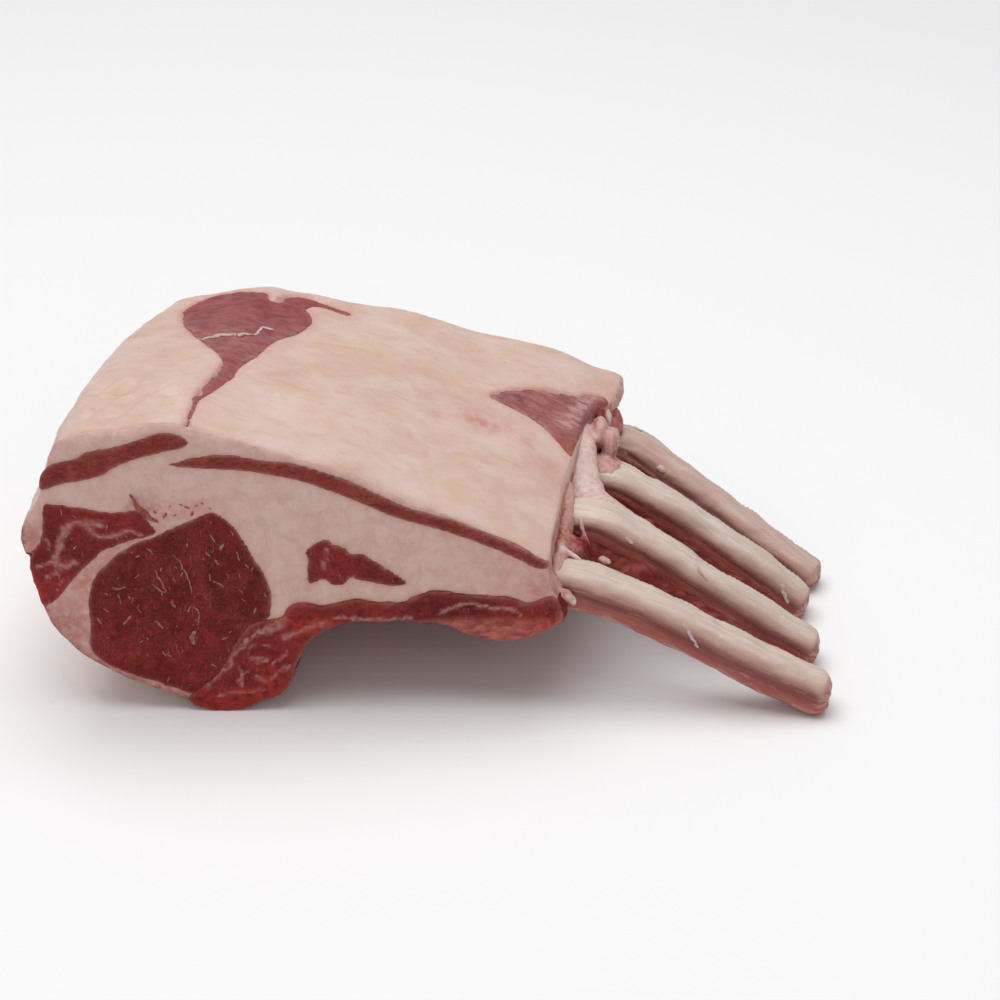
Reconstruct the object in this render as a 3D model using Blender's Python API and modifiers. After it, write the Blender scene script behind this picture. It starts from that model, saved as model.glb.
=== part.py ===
"""Raw rack of lamb: four frenched rib bones in one loin, lying fat side up on its chine edge and bone tips.

Places are written in millimetres in the chop frame and become metres when a mesh is made:
x runs along the ribs from the spine to the bone tips, z is the height above the surface the rack
lies on, and the depth runs along the spine from the front cut to the back cut.
The cut shows every muscle, and each muscle runs the whole depth, so each is one outline drawn
through the depth. The ribs are swept curves. All of it is then centred on the origin.
"""

import math

import bmesh
import bpy
from mathutils import Matrix, Vector

MM = 0.001

# Driving dimensions
DEPTH = 96.0                # front cut to back cut, four rib pitches
SPINE_X = -121.0            # outermost point of the spine side, in the chop frame
FACE_WIDTH = 132.0          # spine side to the frenched edge of the fat
CENTRE_X, CENTRE_DEPTH = -15.4, 45.1
DEPTH_STATIONS = (0.32, 0.62, 0.84)      # where a section is repeated, as shares of the depth
JUST_PAST = 0.03            # where a cutter's section is repeated beyond each cut, as a share
GAP = 0.3                   # clearance kept between touching solids
OVERRUN = 6.0               # how far a cutter runs past what it cuts
EDGE_ROUND = 1.2            # soft edge where the fat cover meets the two cuts

# How a section changes from the front cut to the back cut
SKEW_SPINE, SKEW_RIB = 8.0, 23.0        # sideways shift of the spine side and of the rib side
TUCK = 15.0                             # how far the spine side curves in besides, near the back cut
FALL_SPINE = -0.10                      # change of height at the spine side, as a share
RISE_ACROSS, RISE_RIB = 0.06, 0.18      # what is added across the cut, evenly and towards the ribs
CROWN = 0.012                           # swelling half way, as a share of the height

# Outlines on the front cut, (x, z), clockwise from the spine side
WHOLE = (
    (-121, 51), (-119.5, 57), (-116, 63), (-113.5, 71), (-111.5, 76.5), (-108, 80.5), (-102, 82),
    (-96, 82.5), (-86, 84), (-78, 84), (-72, 82), (-64, 79), (-54, 76), (-42, 72.5), (-33, 68),
    (-25, 63.5), (-15, 59), (-5, 54.5), (5, 48.5), (10, 45.5), (12.5, 43), (13.5, 38), (15, 33),
    (16, 29.5), (14, 26), (10, 23.2), (5, 21.7), (0, 21), (-5, 22), (-10, 24), (-15.5, 26.2),
    (-21, 26.8), (-31, 26.8), (-40, 26.2), (-45, 24), (-48, 22), (-50.5, 18), (-52.5, 14),
    (-53.5, 9.5), (-57, 5), (-62, 2.6), (-67, 0.2), (-75, 0), (-79, 2.3), (-88, 5.9), (-96, 9.4),
    (-103, 13.4), (-108, 17.2), (-113, 23), (-116, 28.5), (-118, 39), (-120, 45.5),
)
EYE = (
    (-73.5, 58.7), (-70.5, 58.2), (-65.5, 52.5), (-63, 47), (-60, 41), (-58.3, 35), (-58.4, 31),
    (-60, 27.4), (-63.5, 25), (-66.7, 21), (-69.5, 15.3), (-72, 11), (-75.5, 7.6), (-80, 7.6),
    (-87, 9.8), (-96, 13.2), (-103, 17), (-104.8, 20.5), (-104.4, 27), (-104.7, 33), (-103.5, 38.5),
    (-100.5, 43), (-95.5, 47.6), (-88, 51.5), (-80.5, 55),
)
SIDE = (
    (-115.3, 59), (-110, 60.2), (-104, 60), (-98, 58.7), (-91.5, 59), (-89, 56.7), (-86.3, 53.2),
    (-89, 51.8), (-93.5, 50.8), (-98, 49), (-102.5, 45.7), (-107, 41), (-111, 36), (-114, 32),
    (-122, 30), (-124, 38), (-124, 46), (-118.5, 47.5), (-116, 51.5), (-115.2, 56),
)
BACK_STRIP = (
    (-119, 71), (-114.5, 70), (-111.3, 72.6), (-105.5, 74), (-99, 76.3), (-91.5, 79), (-84.5, 80.7),
    (-80, 80.2), (-77.7, 78.5), (-79.5, 76.8), (-85.5, 75.6), (-92, 73.4), (-98.5, 70),
    (-104.5, 68.3), (-112, 67), (-119, 65.5),
)
CAP_STRIP = (
    (-83, 71.8), (-75.5, 74), (-67, 75.2), (-62, 73.8), (-52, 73), (-43.5, 69.9), (-35, 65.3),
    (-25, 60.5), (-10, 54.2), (1.3, 48.9), (9.5, 44.9), (9.5, 43.6), (1.3, 47), (-12.5, 52.8),
    (-26, 57.7), (-35, 61.8), (-43.7, 65.6), (-53.5, 68.4), (-64.7, 70.1), (-74.5, 71.1),
)
ISLET = (
    (-49.2, 48.9), (-45.8, 50.9), (-41.6, 50.6), (-37.4, 47), (-32.8, 46.4), (-29, 42.2),
    (-25, 39.8), (-25, 37.6), (-31.7, 38.7), (-38, 39), (-42, 38), (-48.2, 38.7), (-49.2, 43.7),
)
RIB_MEAT = (
    (18, -8), (-84, -8), (-79, 4), (-74, 4.9), (-70, 9), (-67, 14), (-64, 20.5), (-60.5, 23.6),
    (-57, 26.6), (-54.5, 30.8), (-51, 32.7), (-38, 33.3), (-25.5, 33.3), (-16.5, 35.7), (-10, 36.3),
    (2.5, 34.5), (11.5, 33), (18, 33.5),
)

# Where the fat is pared off the cover and the lean below it shows, (x, depth) seen from above
BACK_WINDOW = (
    (-80, 4), (-78.5, 13), (-77.5, 24), (-77, 33), (-79, 42), (-83, 54), (-87, 66), (-88, 77),
    (-83, 85), (-72, 90), (-60, 90), (-50, 89), (-49, 80), (-52, 70), (-58, 57), (-64, 46),
    (-69, 36), (-73, 24), (-76, 13),
)
RIB_WINDOW = (
    (-4, 62), (1, 69), (9, 76), (16, 80), (23, 82), (27, 78), (26, 69), (23, 60), (18.5, 50),
    (14, 54), (9, 59), (2, 60),
)
WINDOW_SINK = 0.9           # how far the bared lean lies below the fat around it
BACK_LEAN_DEPTH = 4.4       # bared lean at the back reaches down to its strip
RIB_LEAN_DEPTH = 3.4

# Ribs: (x, depth, z, size) along each bone's middle, from inside the meat to the tip
BONE_WIDTH, BONE_THICKNESS = 12.4, 8.2
BONE_ROUTES = (
    ((-47, 13, 32.2, 0.7), (-34, 13, 29.6, 0.88), (-14, 13, 29.6, 0.95), (6, 12.8, 31.2, 1.05),
     (19, 11.5, 30, 1.12), (36, 8.5, 24.6, 1.02), (56, 4.5, 15.4, 1.0), (73, 2, 7.4, 1.04),
     (83.7, 0.3, 3.7, 1.0)),
    ((-43, 37, 32.2, 0.7), (-30, 37, 29.6, 0.88), (-10, 37, 30, 0.95), (10, 37, 34, 1.07),
     (24, 35.5, 35.6, 1.12), (38, 32.5, 29.6, 1.03), (54, 28.5, 20.4, 1.0), (70, 25, 10.8, 1.02),
     (82.8, 22.6, 3.7, 1.0)),
    ((-39, 60, 32.2, 0.7), (-26, 60, 29.6, 0.88), (-6, 60, 30, 0.95), (15, 60, 34.6, 1.08),
     (29, 59, 36, 1.12), (41, 57, 31, 1.04), (55, 54, 22.6, 1.0), (69, 50.5, 13.6, 1.0),
     (82.3, 47.6, 3.6, 0.97)),
    ((-35, 83, 32.2, 0.7), (-22, 83, 29.6, 0.88), (-2, 83, 30, 0.92), (20, 83, 34, 1.0),
     (35, 82, 34.6, 1.02), (48, 77.5, 27.5, 0.94), (61, 73, 19.5, 0.9), (75, 67, 10.6, 0.9),
     (86.8, 62.4, 3.4, 0.9)),
)
TIP_ROUND = 1.6
SPANS_IN_MEAT = 3           # the first spans of a route, which are nearly straight

# Sleeve of fat and sinew left round each rib where it leaves the meat: sizes against the rib's own
SLEEVE_START, SLEEVE_MOUTH, SLEEVE_END = 1.6, 1.6, 1.34
SLEEVE_REACH = 0.3          # how far it follows the rib's next span, as a share
SLEEVE_RISE = 0.5

# Colours, roughness
FAT_COLOUR, LEAN_COLOUR, DARK_LEAN_COLOUR = (0.63, 0.47, 0.41), (0.21, 0.035, 0.03), (0.12, 0.019, 0.019)
BONE_COLOUR = (0.6, 0.53, 0.46)
WET_ROUGHNESS, FAT_ROUGHNESS, BONE_ROUGHNESS = 0.35, 0.45, 0.5


def clear_scene():
    """Remove every object that the file opened with."""
    for obj in list(bpy.data.objects):
        bpy.data.objects.remove(obj)


def new_collection(name):
    """Add a collection to the scene."""
    collection = bpy.data.collections.new(name)
    bpy.context.scene.collection.children.link(collection)
    return collection


def make_material(name, colour, roughness):
    """A plain Principled material."""
    material = bpy.data.materials.new(name)
    material.use_nodes = True
    shader = material.node_tree.nodes["Principled BSDF"]
    shader.inputs["Base Color"].default_value = (*colour, 1.0)
    shader.inputs["Roughness"].default_value = roughness
    shader.inputs["Metallic"].default_value = 0.0
    return material


def smooth_loop(points, spacing):
    """A closed smooth line through the points, with its own points about `spacing` apart."""
    found = []
    count = len(points)
    for i in range(count):
        before, start, end, after = (Vector(points[(i + k) % count]) for k in (-1, 0, 1, 2))
        steps = max(1, round((end - start).length / spacing))
        for step in range(steps):
            t = step / steps
            found.append(0.5 * (
                2 * start + (end - before) * t
                + (2 * before - 5 * start + 4 * end - after) * t ** 2
                + (3 * start - before - 3 * end + after) * t ** 3
            ))
    return found


def moved_out(loop, distance):
    """The clockwise loop moved outwards by a distance, or inwards if it is negative."""
    count = len(loop)
    moved = []
    for i in range(count):
        along = (loop[(i + 1) % count] - loop[i - 1]).normalized()
        moved.append(loop[i] + distance * Vector((-along.y, along.x)))
    return moved


def rack_point(x, depth, z):
    """Carry a point of the front cut back to a depth along the spine, and to metres."""
    share = depth / DEPTH
    across = max((x - SPINE_X) / FACE_WIDTH, 0)
    shift = share * (SKEW_SPINE + (SKEW_RIB - SKEW_SPINE) * across ** 2)
    tuck = TUCK * share ** 3 * max(1 - across, 0) ** 2
    growth = share * (FALL_SPINE + RISE_ACROSS * across + RISE_RIB * across ** 3)
    swelling = CROWN * 4 * share * (1 - share)
    return plain_point(x + shift + tuck, depth, z * (1 + growth + swelling))


def plain_point(x, depth, z):
    """A place in the chop frame, in metres from the origin."""
    return Vector((x - CENTRE_X, depth - CENTRE_DEPTH, z)) * MM


def filled_curve(loop, half_depth):
    """The mesh of a flat outline with thickness, with its caps welded on."""
    curve = bpy.data.curves.new("outline", "CURVE")
    curve.dimensions = "2D"
    curve.fill_mode = "BOTH"
    curve.extrude = half_depth
    spline = curve.splines.new("POLY")
    spline.points.add(len(loop) - 1)
    for point, place in zip(spline.points, loop):
        point.co = (place.x, place.y, 0, 1)
    spline.use_cyclic_u = True
    holder = bpy.data.objects.new("outline", curve)
    bpy.context.scene.collection.objects.link(holder)
    mesh = mesh_of(holder)
    bpy.data.objects.remove(holder)
    return mesh


def mesh_of(holder):
    """The evaluated mesh of a curve, with its caps welded."""
    graph = bpy.context.evaluated_depsgraph_get()
    mesh = bpy.data.meshes.new_from_object(holder.evaluated_get(graph))
    shape = bmesh.new()
    shape.from_mesh(mesh)
    bmesh.ops.remove_doubles(shape, verts=shape.verts, dist=0.001)
    bmesh.ops.dissolve_limit(
        shape, angle_limit=math.radians(0.5), verts=shape.verts, edges=shape.edges)
    bmesh.ops.recalc_face_normals(shape, faces=shape.faces)
    shape.to_mesh(mesh)
    shape.free()
    return mesh


def add_object(name, mesh, collection, material=None):
    """Put a mesh in a collection, under the rack's empty if it is a part."""
    mesh.name = name
    obj = bpy.data.objects.new(name, mesh)
    collection.objects.link(obj)
    mesh.materials.clear()
    if material:
        mesh.materials.append(material)
    return obj


def section_solid(name, outline, collection, material=None, out=0.0, past=0.0, spacing=5.0):
    """An outline of the front cut drawn through the depth, following the rack's skew."""
    loop = moved_out(smooth_loop(outline, spacing), out)
    mesh = filled_curve(loop, DEPTH / 2 + past)
    shape = bmesh.new()
    shape.from_mesh(mesh)
    shape.transform(Matrix.Translation((0, DEPTH / 2, 0)) @ Matrix.Rotation(math.pi / 2, 4, "X"))
    stations = (-JUST_PAST, *DEPTH_STATIONS, 1 + JUST_PAST) if past else DEPTH_STATIONS
    for share in stations:
        everything = [*shape.verts, *shape.edges, *shape.faces]
        station = (0, DEPTH * share, 0)
        bmesh.ops.bisect_plane(shape, geom=everything, plane_co=station, plane_no=(0, 1, 0))
    # The carried quads are twisted, so a muscle and its room are split along the same diagonals
    quads = [face for face in shape.faces if len(face.verts) == 4]
    bmesh.ops.triangulate(shape, faces=quads, quad_method="FIXED")
    for vert in shape.verts:
        vert.co = rack_point(*vert.co)
    shape.to_mesh(mesh)
    shape.free()
    return add_object(name, mesh, collection, material)


def standing_prism(name, outline, collection, out=0.0):
    """An outline seen from above, drawn upwards through the fat cover."""
    loop = moved_out(smooth_loop(outline, 5.0), out)
    height = 80.0
    mesh = filled_curve(loop, height / 2)
    shape = bmesh.new()
    shape.from_mesh(mesh)
    bmesh.ops.translate(shape, verts=shape.verts, vec=(0, 0, 34 + height / 2))
    for vert in shape.verts:
        vert.co = plain_point(*vert.co)
    shape.to_mesh(mesh)
    shape.free()
    return add_object(name, mesh, collection)


def combine(obj, other, operation):
    """Add a Boolean modifier."""
    modifier = obj.modifiers.new(f"{operation.lower()} {other.name}", "BOOLEAN")
    modifier.operation = operation
    modifier.object = other
    modifier.solver = "EXACT"


def applied(obj):
    """Freeze an object's modifiers into its mesh, so that it can be cut with again."""
    graph = bpy.context.evaluated_depsgraph_get()
    mesh = bpy.data.meshes.new_from_object(obj.evaluated_get(graph))
    obj.modifiers.clear()
    obj.data = mesh
    return obj


def rib_profile(name, collection, grow):
    """A rib's section: broad and flat, with a shallow groove along the side facing the front cut."""
    curve = bpy.data.curves.new(name, "CURVE")
    curve.dimensions = "2D"
    spline = curve.splines.new("POLY")
    count = 12
    spline.points.add(count - 1)
    for i, point in enumerate(spline.points):
        angle = 2 * math.pi * i / count
        groove = 0.12 * math.exp(-((math.cos(angle) + 1) ** 2 + (math.sin(angle) + 0.35) ** 2) / 0.12)
        half_width = (BONE_WIDTH / 2 + grow) * MM
        half_height = (BONE_THICKNESS / 2 + grow) * MM
        fullness = 1 + 0.07 * abs(math.sin(2 * angle))
        point.co = (
            half_width * fullness * (1 - groove) * math.cos(angle),
            half_height * fullness * math.sin(angle), 0, 1,
        )
    spline.use_cyclic_u = True
    profile = bpy.data.objects.new(name, curve)
    collection.objects.link(profile)
    return profile


def rib(name, route, profile, collection, material=None, grow=0.0):
    """A rib bone: its section swept along a smooth route, with a rounded tip."""
    curve = bpy.data.curves.new(name, "CURVE")
    curve.dimensions = "3D"
    curve.twist_mode = "Z_UP"
    curve.bevel_mode = "OBJECT"
    curve.bevel_object = profile
    curve.use_fill_caps = True
    stations = rib_stations(route, grow)
    spline = curve.splines.new("POLY")
    spline.points.add(len(stations) - 1)
    for point, (x, depth, z, size) in zip(spline.points, stations):
        point.co = (*plain_point(x, depth, z), 1)
        point.radius = size
    holder = bpy.data.objects.new(name + " route", curve)
    bpy.context.scene.collection.objects.link(holder)
    graph = bpy.context.evaluated_depsgraph_get()
    mesh = bpy.data.meshes.new_from_object(holder.evaluated_get(graph))
    bpy.data.objects.remove(holder)
    shape = bmesh.new()
    shape.from_mesh(mesh)
    bmesh.ops.remove_doubles(shape, verts=shape.verts, dist=1e-5)
    bmesh.ops.recalc_face_normals(shape, faces=shape.faces)
    shape.to_mesh(mesh)
    shape.free()
    return add_object(name, mesh, collection, material)


def rib_stations(route, grow):
    """Points along a rib, read from a smooth curve through its route, with the tip drawn in."""
    stations = []
    for i in range(len(route) - 1):
        spans = 1 if i < SPANS_IN_MEAT else 2
        ends = [Vector(route[max(0, min(len(route) - 1, i + k))]) for k in (-1, 0, 1, 2)]
        before, start, end, after = ends
        for step in range(spans):
            t = step / spans
            stations.append(0.5 * (
                2 * start + (end - before) * t
                + (2 * before - 5 * start + 4 * end - after) * t ** 2
                + (3 * start - before - 3 * end + after) * t ** 3
            ))
    tip = Vector(route[-1])
    heading = (tip - stations[-1]).normalized()
    stations.append(tip)
    for reach, size in ((0.7, 0.93), (1.0, 0.78)):
        beyond = tip + heading * (TIP_ROUND * reach)
        beyond[3] = tip[3] * size
        stations.append(beyond)
    if grow:
        stations[-1] = stations[-1] + heading * grow
    return stations


def sleeve_route(route):
    """The short route of the sleeve round a rib: from inside the meat to just past its edge."""
    inner, mouth, beyond = (Vector(route[i]) for i in (3, 4, 5))
    end = mouth.lerp(beyond, SLEEVE_REACH)
    lift = Vector((0, 0, SLEEVE_RISE, 0))
    inner = mouth.lerp(inner, 0.6) + lift
    mouth, end = mouth + lift, end + 0.5 * lift
    inner[3], mouth[3], end[3] = SLEEVE_START, SLEEVE_MOUTH, SLEEVE_END
    return inner, mouth, end


def floor_cutter(collection):
    """A block below the surface that the rack rests on, which gives the bones their flats."""
    shape = bmesh.new()
    bmesh.ops.create_cube(shape, size=1.0)
    bmesh.ops.scale(shape, verts=shape.verts, vec=(0.4, 0.3, 0.04))
    bmesh.ops.translate(shape, verts=shape.verts, vec=(0, 0, -0.02))
    mesh = bpy.data.meshes.new("floor cutter")
    shape.to_mesh(mesh)
    shape.free()
    return add_object("floor cutter", mesh, collection)


def round_cut_edges(obj):
    """Soften the edges between the cover and the two cuts."""
    modifier = obj.modifiers.new("soft edges", "BEVEL")
    modifier.width = EDGE_ROUND * MM
    modifier.segments = 1
    modifier.limit_method = "ANGLE"
    modifier.angle_limit = math.radians(60)


def build():
    """Make every solid of the rack."""
    clear_scene()
    parts = new_collection("rack of lamb")
    cutters = new_collection("cutters")

    fat = make_material("fat", FAT_COLOUR, FAT_ROUGHNESS)
    lean = make_material("cover lean", LEAN_COLOUR, WET_ROUGHNESS)
    dark_lean = make_material("dark lean", DARK_LEAN_COLOUR, WET_ROUGHNESS)
    bone = make_material("bone", BONE_COLOUR, BONE_ROUGHNESS)

    floor = floor_cutter(cutters)

    # The whole loin without its ribs, which trims every muscle to the outside
    whole = section_solid("whole loin", WHOLE, cutters)
    round_cut_edges(whole)
    applied(whole)
    sunk = section_solid("whole below the bared lean", WHOLE, cutters, out=-WINDOW_SINK, past=OVERRUN)

    # Muscles, each drawn through the depth
    muscles = {
        "loin_eye": (EYE, dark_lean),
        "side_muscle": (SIDE, dark_lean),
        "back_strip": (BACK_STRIP, lean),
        "cap_strip": (CAP_STRIP, lean),
        "islet_muscle": (ISLET, lean),
        "rib_meat": (RIB_MEAT, dark_lean),
    }
    rooms = {}
    nodes = {}
    for name, (outline, material) in muscles.items():
        nodes[name] = section_solid(name, outline, parts, material, past=OVERRUN)
        combine(nodes[name], whole, "INTERSECT")
        rooms[name] = section_solid("room for " + name, outline, cutters, out=GAP, past=OVERRUN)

    # Lean bared on top, one piece with the strip below it
    windows = (
        ("back_strip", BACK_WINDOW, BACK_LEAN_DEPTH),
        ("cap_strip", RIB_WINDOW, RIB_LEAN_DEPTH),
    )
    pockets = []
    for name, outline, depth in windows:
        bared = standing_prism("bared " + name, outline, cutters)
        combine(bared, sunk, "INTERSECT")
        below = section_solid(f"whole below {name} lean", WHOLE, cutters, out=-depth, past=2 * OVERRUN)
        combine(bared, below, "DIFFERENCE")
        applied(bared)
        combine(bared, whole, "INTERSECT")
        applied(bared)
        combine(nodes[name], bared, "UNION")
        pocket = standing_prism("pocket over " + name, outline, cutters, out=GAP)
        floor_of_pocket = section_solid(
            f"whole below {name} pocket", WHOLE, cutters, out=-depth - GAP, past=2 * OVERRUN)
        combine(pocket, floor_of_pocket, "DIFFERENCE")
        pockets.append(applied(pocket))
    combine(nodes["back_strip"], rooms["cap_strip"], "DIFFERENCE")
    combine(nodes["cap_strip"], rooms["back_strip"], "DIFFERENCE")

    # Ribs
    profile = rib_profile("rib profile", cutters, 0.0)
    wide_profile = rib_profile("wide rib profile", cutters, GAP)
    rib_rooms = []
    for number, route in enumerate(BONE_ROUTES, start=1):
        name = f"rib_bone_{number}"
        nodes[name] = rib(name, route, profile, parts, bone)
        combine(nodes[name], floor, "DIFFERENCE")
        rib_rooms.append(rib("room for " + name, route, wide_profile, cutters, grow=GAP))

    # Fat is what is left of the loin, with a sleeve on each rib
    nodes["fat_body"] = section_solid("fat_body", WHOLE, parts, fat)
    round_cut_edges(nodes["fat_body"])
    for number, route in enumerate(BONE_ROUTES, start=1):
        sleeve = rib(f"sleeve {number}", sleeve_route(route), profile, cutters)
        combine(nodes["fat_body"], sleeve, "UNION")
    for cutter in (*rooms.values(), *pockets, *rib_rooms):
        combine(nodes["fat_body"], cutter, "DIFFERENCE")
    for cutter in (*rib_rooms, floor):
        combine(nodes["rib_meat"], cutter, "DIFFERENCE")
    for cutter in rib_rooms[2:]:
        combine(nodes["cap_strip"], cutter, "DIFFERENCE")

    for cutter in cutters.objects:
        cutter.hide_render = True
        cutter.display_type = "WIRE"
    frame = bpy.data.objects.new("rack frame", None)
    parts.objects.link(frame)
    for node in nodes.values():
        node.parent = frame


build()
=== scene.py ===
"""Raw rack of lamb, lying fat side up.

Shapes are worked out in millimetres in the chop frame and become metres in the row frame when a
piece is finished. In the chop frame x runs along the ribs from the spine to the bone tips, the
second number is the depth from the front cut to the back cut, and z is the height.
"""

import logging
import math
import random
from dataclasses import dataclass
from enum import Enum
from typing import Callable, Sequence

import bmesh
import bpy
import numpy as np
from mathutils import Matrix, Vector, noise
from mathutils.bvhtree import BVHTree


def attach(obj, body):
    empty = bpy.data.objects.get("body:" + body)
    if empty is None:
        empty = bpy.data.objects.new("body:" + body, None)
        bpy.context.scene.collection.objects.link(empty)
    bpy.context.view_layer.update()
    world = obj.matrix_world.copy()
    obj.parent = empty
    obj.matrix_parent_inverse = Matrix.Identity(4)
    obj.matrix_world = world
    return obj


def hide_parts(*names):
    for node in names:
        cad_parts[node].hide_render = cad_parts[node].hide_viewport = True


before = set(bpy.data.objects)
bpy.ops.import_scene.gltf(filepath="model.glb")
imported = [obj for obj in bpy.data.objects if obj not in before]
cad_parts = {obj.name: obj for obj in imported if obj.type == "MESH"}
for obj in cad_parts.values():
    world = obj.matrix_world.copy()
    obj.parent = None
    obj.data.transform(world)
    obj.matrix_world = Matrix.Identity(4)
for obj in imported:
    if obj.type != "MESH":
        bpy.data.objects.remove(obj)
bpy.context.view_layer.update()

Array = np.ndarray
Points = Sequence[Sequence[float]]
Colour = tuple[float, float, float]
Socket = bpy.types.NodeSocket
Piece = bpy.types.Object

LOG = logging.getLogger("rack_of_lamb")
MM = 0.001

# Outlines on the front cut, (x, z), clockwise from the spine side
WHOLE = (
    (-121, 51), (-119.5, 57), (-116, 63), (-113.5, 71), (-111.5, 76.5), (-108, 80.5), (-102, 82),
    (-96, 82.5), (-86, 84), (-78, 84), (-72, 82), (-64, 79), (-54, 76), (-42, 72.5), (-33, 68),
    (-25, 63.5), (-15, 59), (-5, 54.5), (5, 48.5), (10, 45.5), (12.5, 43), (13.5, 38), (15, 33),
    (16, 29.5), (14, 26), (10, 23.2), (5, 21.7), (0, 21), (-5, 22), (-10, 24), (-15.5, 26.2),
    (-21, 26.8), (-31, 26.8), (-40, 26.2), (-45, 24), (-48, 22), (-50.5, 18), (-52.5, 14),
    (-53.5, 9.5), (-57, 5), (-62, 2.6), (-67, 0.2), (-75, 0), (-79, 2.3), (-88, 5.9), (-96, 9.4),
    (-103, 13.4), (-108, 17.2), (-113, 23), (-116, 28.5), (-118, 39), (-120, 45.5),
)
TOP_EDGE = WHOLE[5:21]
FAT = (
    *WHOLE[:23], (14.5, 31.8), (8, 31), (2.5, 32.6), (-10, 33), (-16.5, 33), (-25.5, 31),
    (-38, 31), (-50, 29.6), (-54, 26), (-58, 23.6), (-63, 20.2), (-66, 14), (-69, 9),
    (-73, 4.2), *WHOLE[43:],
)
RIB_MEAT = (
    (-81, 2.8), (-78.6, 6.4), (-76.2, 8.2), (-72.9, 11.4), (-70.4, 15.6), (-67.5, 21.5),
    (-64.2, 25.7), (-60.5, 27.4), (-57.2, 27.8), (-55.3, 28.7), (-54.2, 30.8), (-51.6, 32.6),
    (-44.5, 32), (-36.8, 33.8), (-31.7, 32.9), (-24.8, 32.9), (-21, 35), (-16.4, 36.2), (-7, 35),
    (2.9, 34), (6.8, 32.3), (10.6, 33.6), (12.9, 34.4), (15, 33.4), *WHOLE[23:43],
)
EYE = (
    (-73.5, 58.7), (-70.5, 58.2), (-67.6, 55.6), (-65.5, 52.5), (-63, 47), (-60, 41), (-58.3, 35),
    (-58.4, 31), (-60, 27.4), (-63.5, 25), (-66.7, 21), (-69.5, 15.3), (-72, 10.4), (-75.5, 6),
    (-80, 5.3), (-87, 7.9), (-96, 11.5), (-103, 15.6), (-105.4, 20), (-104.6, 27), (-104.7, 33),
    (-103.5, 38.5), (-100.5, 43), (-95.5, 47.6), (-88, 51.5), (-80.5, 55),
)
SIDE = (
    (-114.3, 61), (-112.5, 61.2), (-108, 60.6), (-104, 60), (-98, 58.7), (-91.5, 59), (-89, 56.7),
    (-86.3, 53.2), (-89, 51.8), (-93.5, 50.8), (-98, 49), (-102.5, 45.7), (-107, 41), (-111, 36),
    (-113.5, 32.8), (-116.2, 31.6), (-117.3, 35), (-118.2, 39), (-119, 43), (-118.4, 46.2),
    (-117, 48.6), (-115.6, 51.8), (-114.8, 56),
)
SIDE_ROOM = (*SIDE[:15], (-122, 30), (-125, 38), (-124, 45), *SIDE[20:])
BACK_STRIP = (
    (-114.9, 67.2), (-114.3, 69.4), (-113, 71.2), (-110.9, 72.8), (-105.1, 74.2), (-102.7, 75.9),
    (-97.2, 77), (-94.2, 77.7), (-84.1, 81.2), (-79.2, 80.4), (-77.2, 78.9), (-78.4, 77.3),
    (-83.6, 76), (-91.4, 73.6), (-96.8, 71.2), (-98.7, 69.7), (-103.5, 68.1), (-110.1, 66.8),
    (-113.2, 65.5), (-114.8, 65.6),
)
CAP_STRIP = (
    (-82, 72.2), (-80.3, 73.1), (-76.5, 74.4), (-67.6, 75.2), (-58, 73.4), (-50.1, 72.4),
    (-40, 68.8), (-34.3, 66), (-25.9, 61.5), (-20.7, 59.3), (-13.2, 56.9), (-8.4, 55), (-2.1, 52),
    (2.1, 50.1), (11, 44.8), (12.2, 43.4), (10.8, 42.4), (7.7, 43.3), (4.9, 45.2), (-2.4, 48.8),
    (-6.7, 50.7), (-14.2, 53.6), (-19.7, 55.4), (-27, 57.8), (-36.4, 62.4), (-47.2, 67),
    (-56.1, 69.4), (-64.8, 70.8), (-74.4, 71.4),
)
ISLET = (
    (-49.1, 47.6), (-47, 49.6), (-45.2, 50.8), (-43.2, 50.8), (-42.2, 49.7), (-39.2, 48.8),
    (-37.8, 46.9), (-34.4, 46.9), (-33.2, 45.6), (-31, 44.4), (-28.7, 42.4), (-26, 40.6),
    (-23.7, 38.2), (-27.6, 37.4), (-30.9, 38.2), (-35.4, 39.1), (-37.9, 39.8), (-40, 37.6),
    (-43, 38.2), (-44.5, 39.6), (-47.6, 38.2), (-48.8, 39.7), (-48.6, 45),
)

# The cover's right edge, (depth, x)
LIP = (
    (0, 12.6), (12, 13.2), (22, 14.8), (35, 16.5), (46, 18.8), (56, 20.6), (66, 22.4), (75, 25), (79, 30.5),
    (84, 33.6), (90, 34.6), (101, 34),
)

# Places seen from above, (x, depth), clockwise
BACK_WINDOW = (
    (-77.6, 1), (-76.9, 10.5), (-76.9, 15.2), (-75.7, 19.6), (-74.6, 24.7), (-73.1, 30.1),
    (-72, 34.9), (-71.3, 39.5), (-73.6, 45), (-76.6, 49.8), (-80.2, 57.4), (-84.1, 66.9),
    (-86, 77.4), (-85.2, 83.4), (-82.2, 88.9), (-78.5, 92), (-72.9, 92), (-66.3, 89.7),
    (-63.4, 88.2), (-62.2, 84.6), (-59.6, 85.4), (-57.6, 89.5), (-52.3, 91.4), (-46.8, 90.6), (-42.5, 88.2),
    (-40.5, 86.3), (-41.8, 85), (-45.6, 87), (-50, 87.6), (-52.6, 85.4), (-51.4, 81), (-50.8, 75.9),
    (-52.8, 69.7), (-54.5, 66.3), (-58.4, 61.5), (-61.2, 55.4), (-63.3, 48.5), (-65.7, 42.7),
    (-67.6, 37.9), (-68.3, 32.9), (-70.7, 26), (-73, 20), (-75.3, 15), (-76, 10), (-76.9, 1.4),
)
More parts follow.
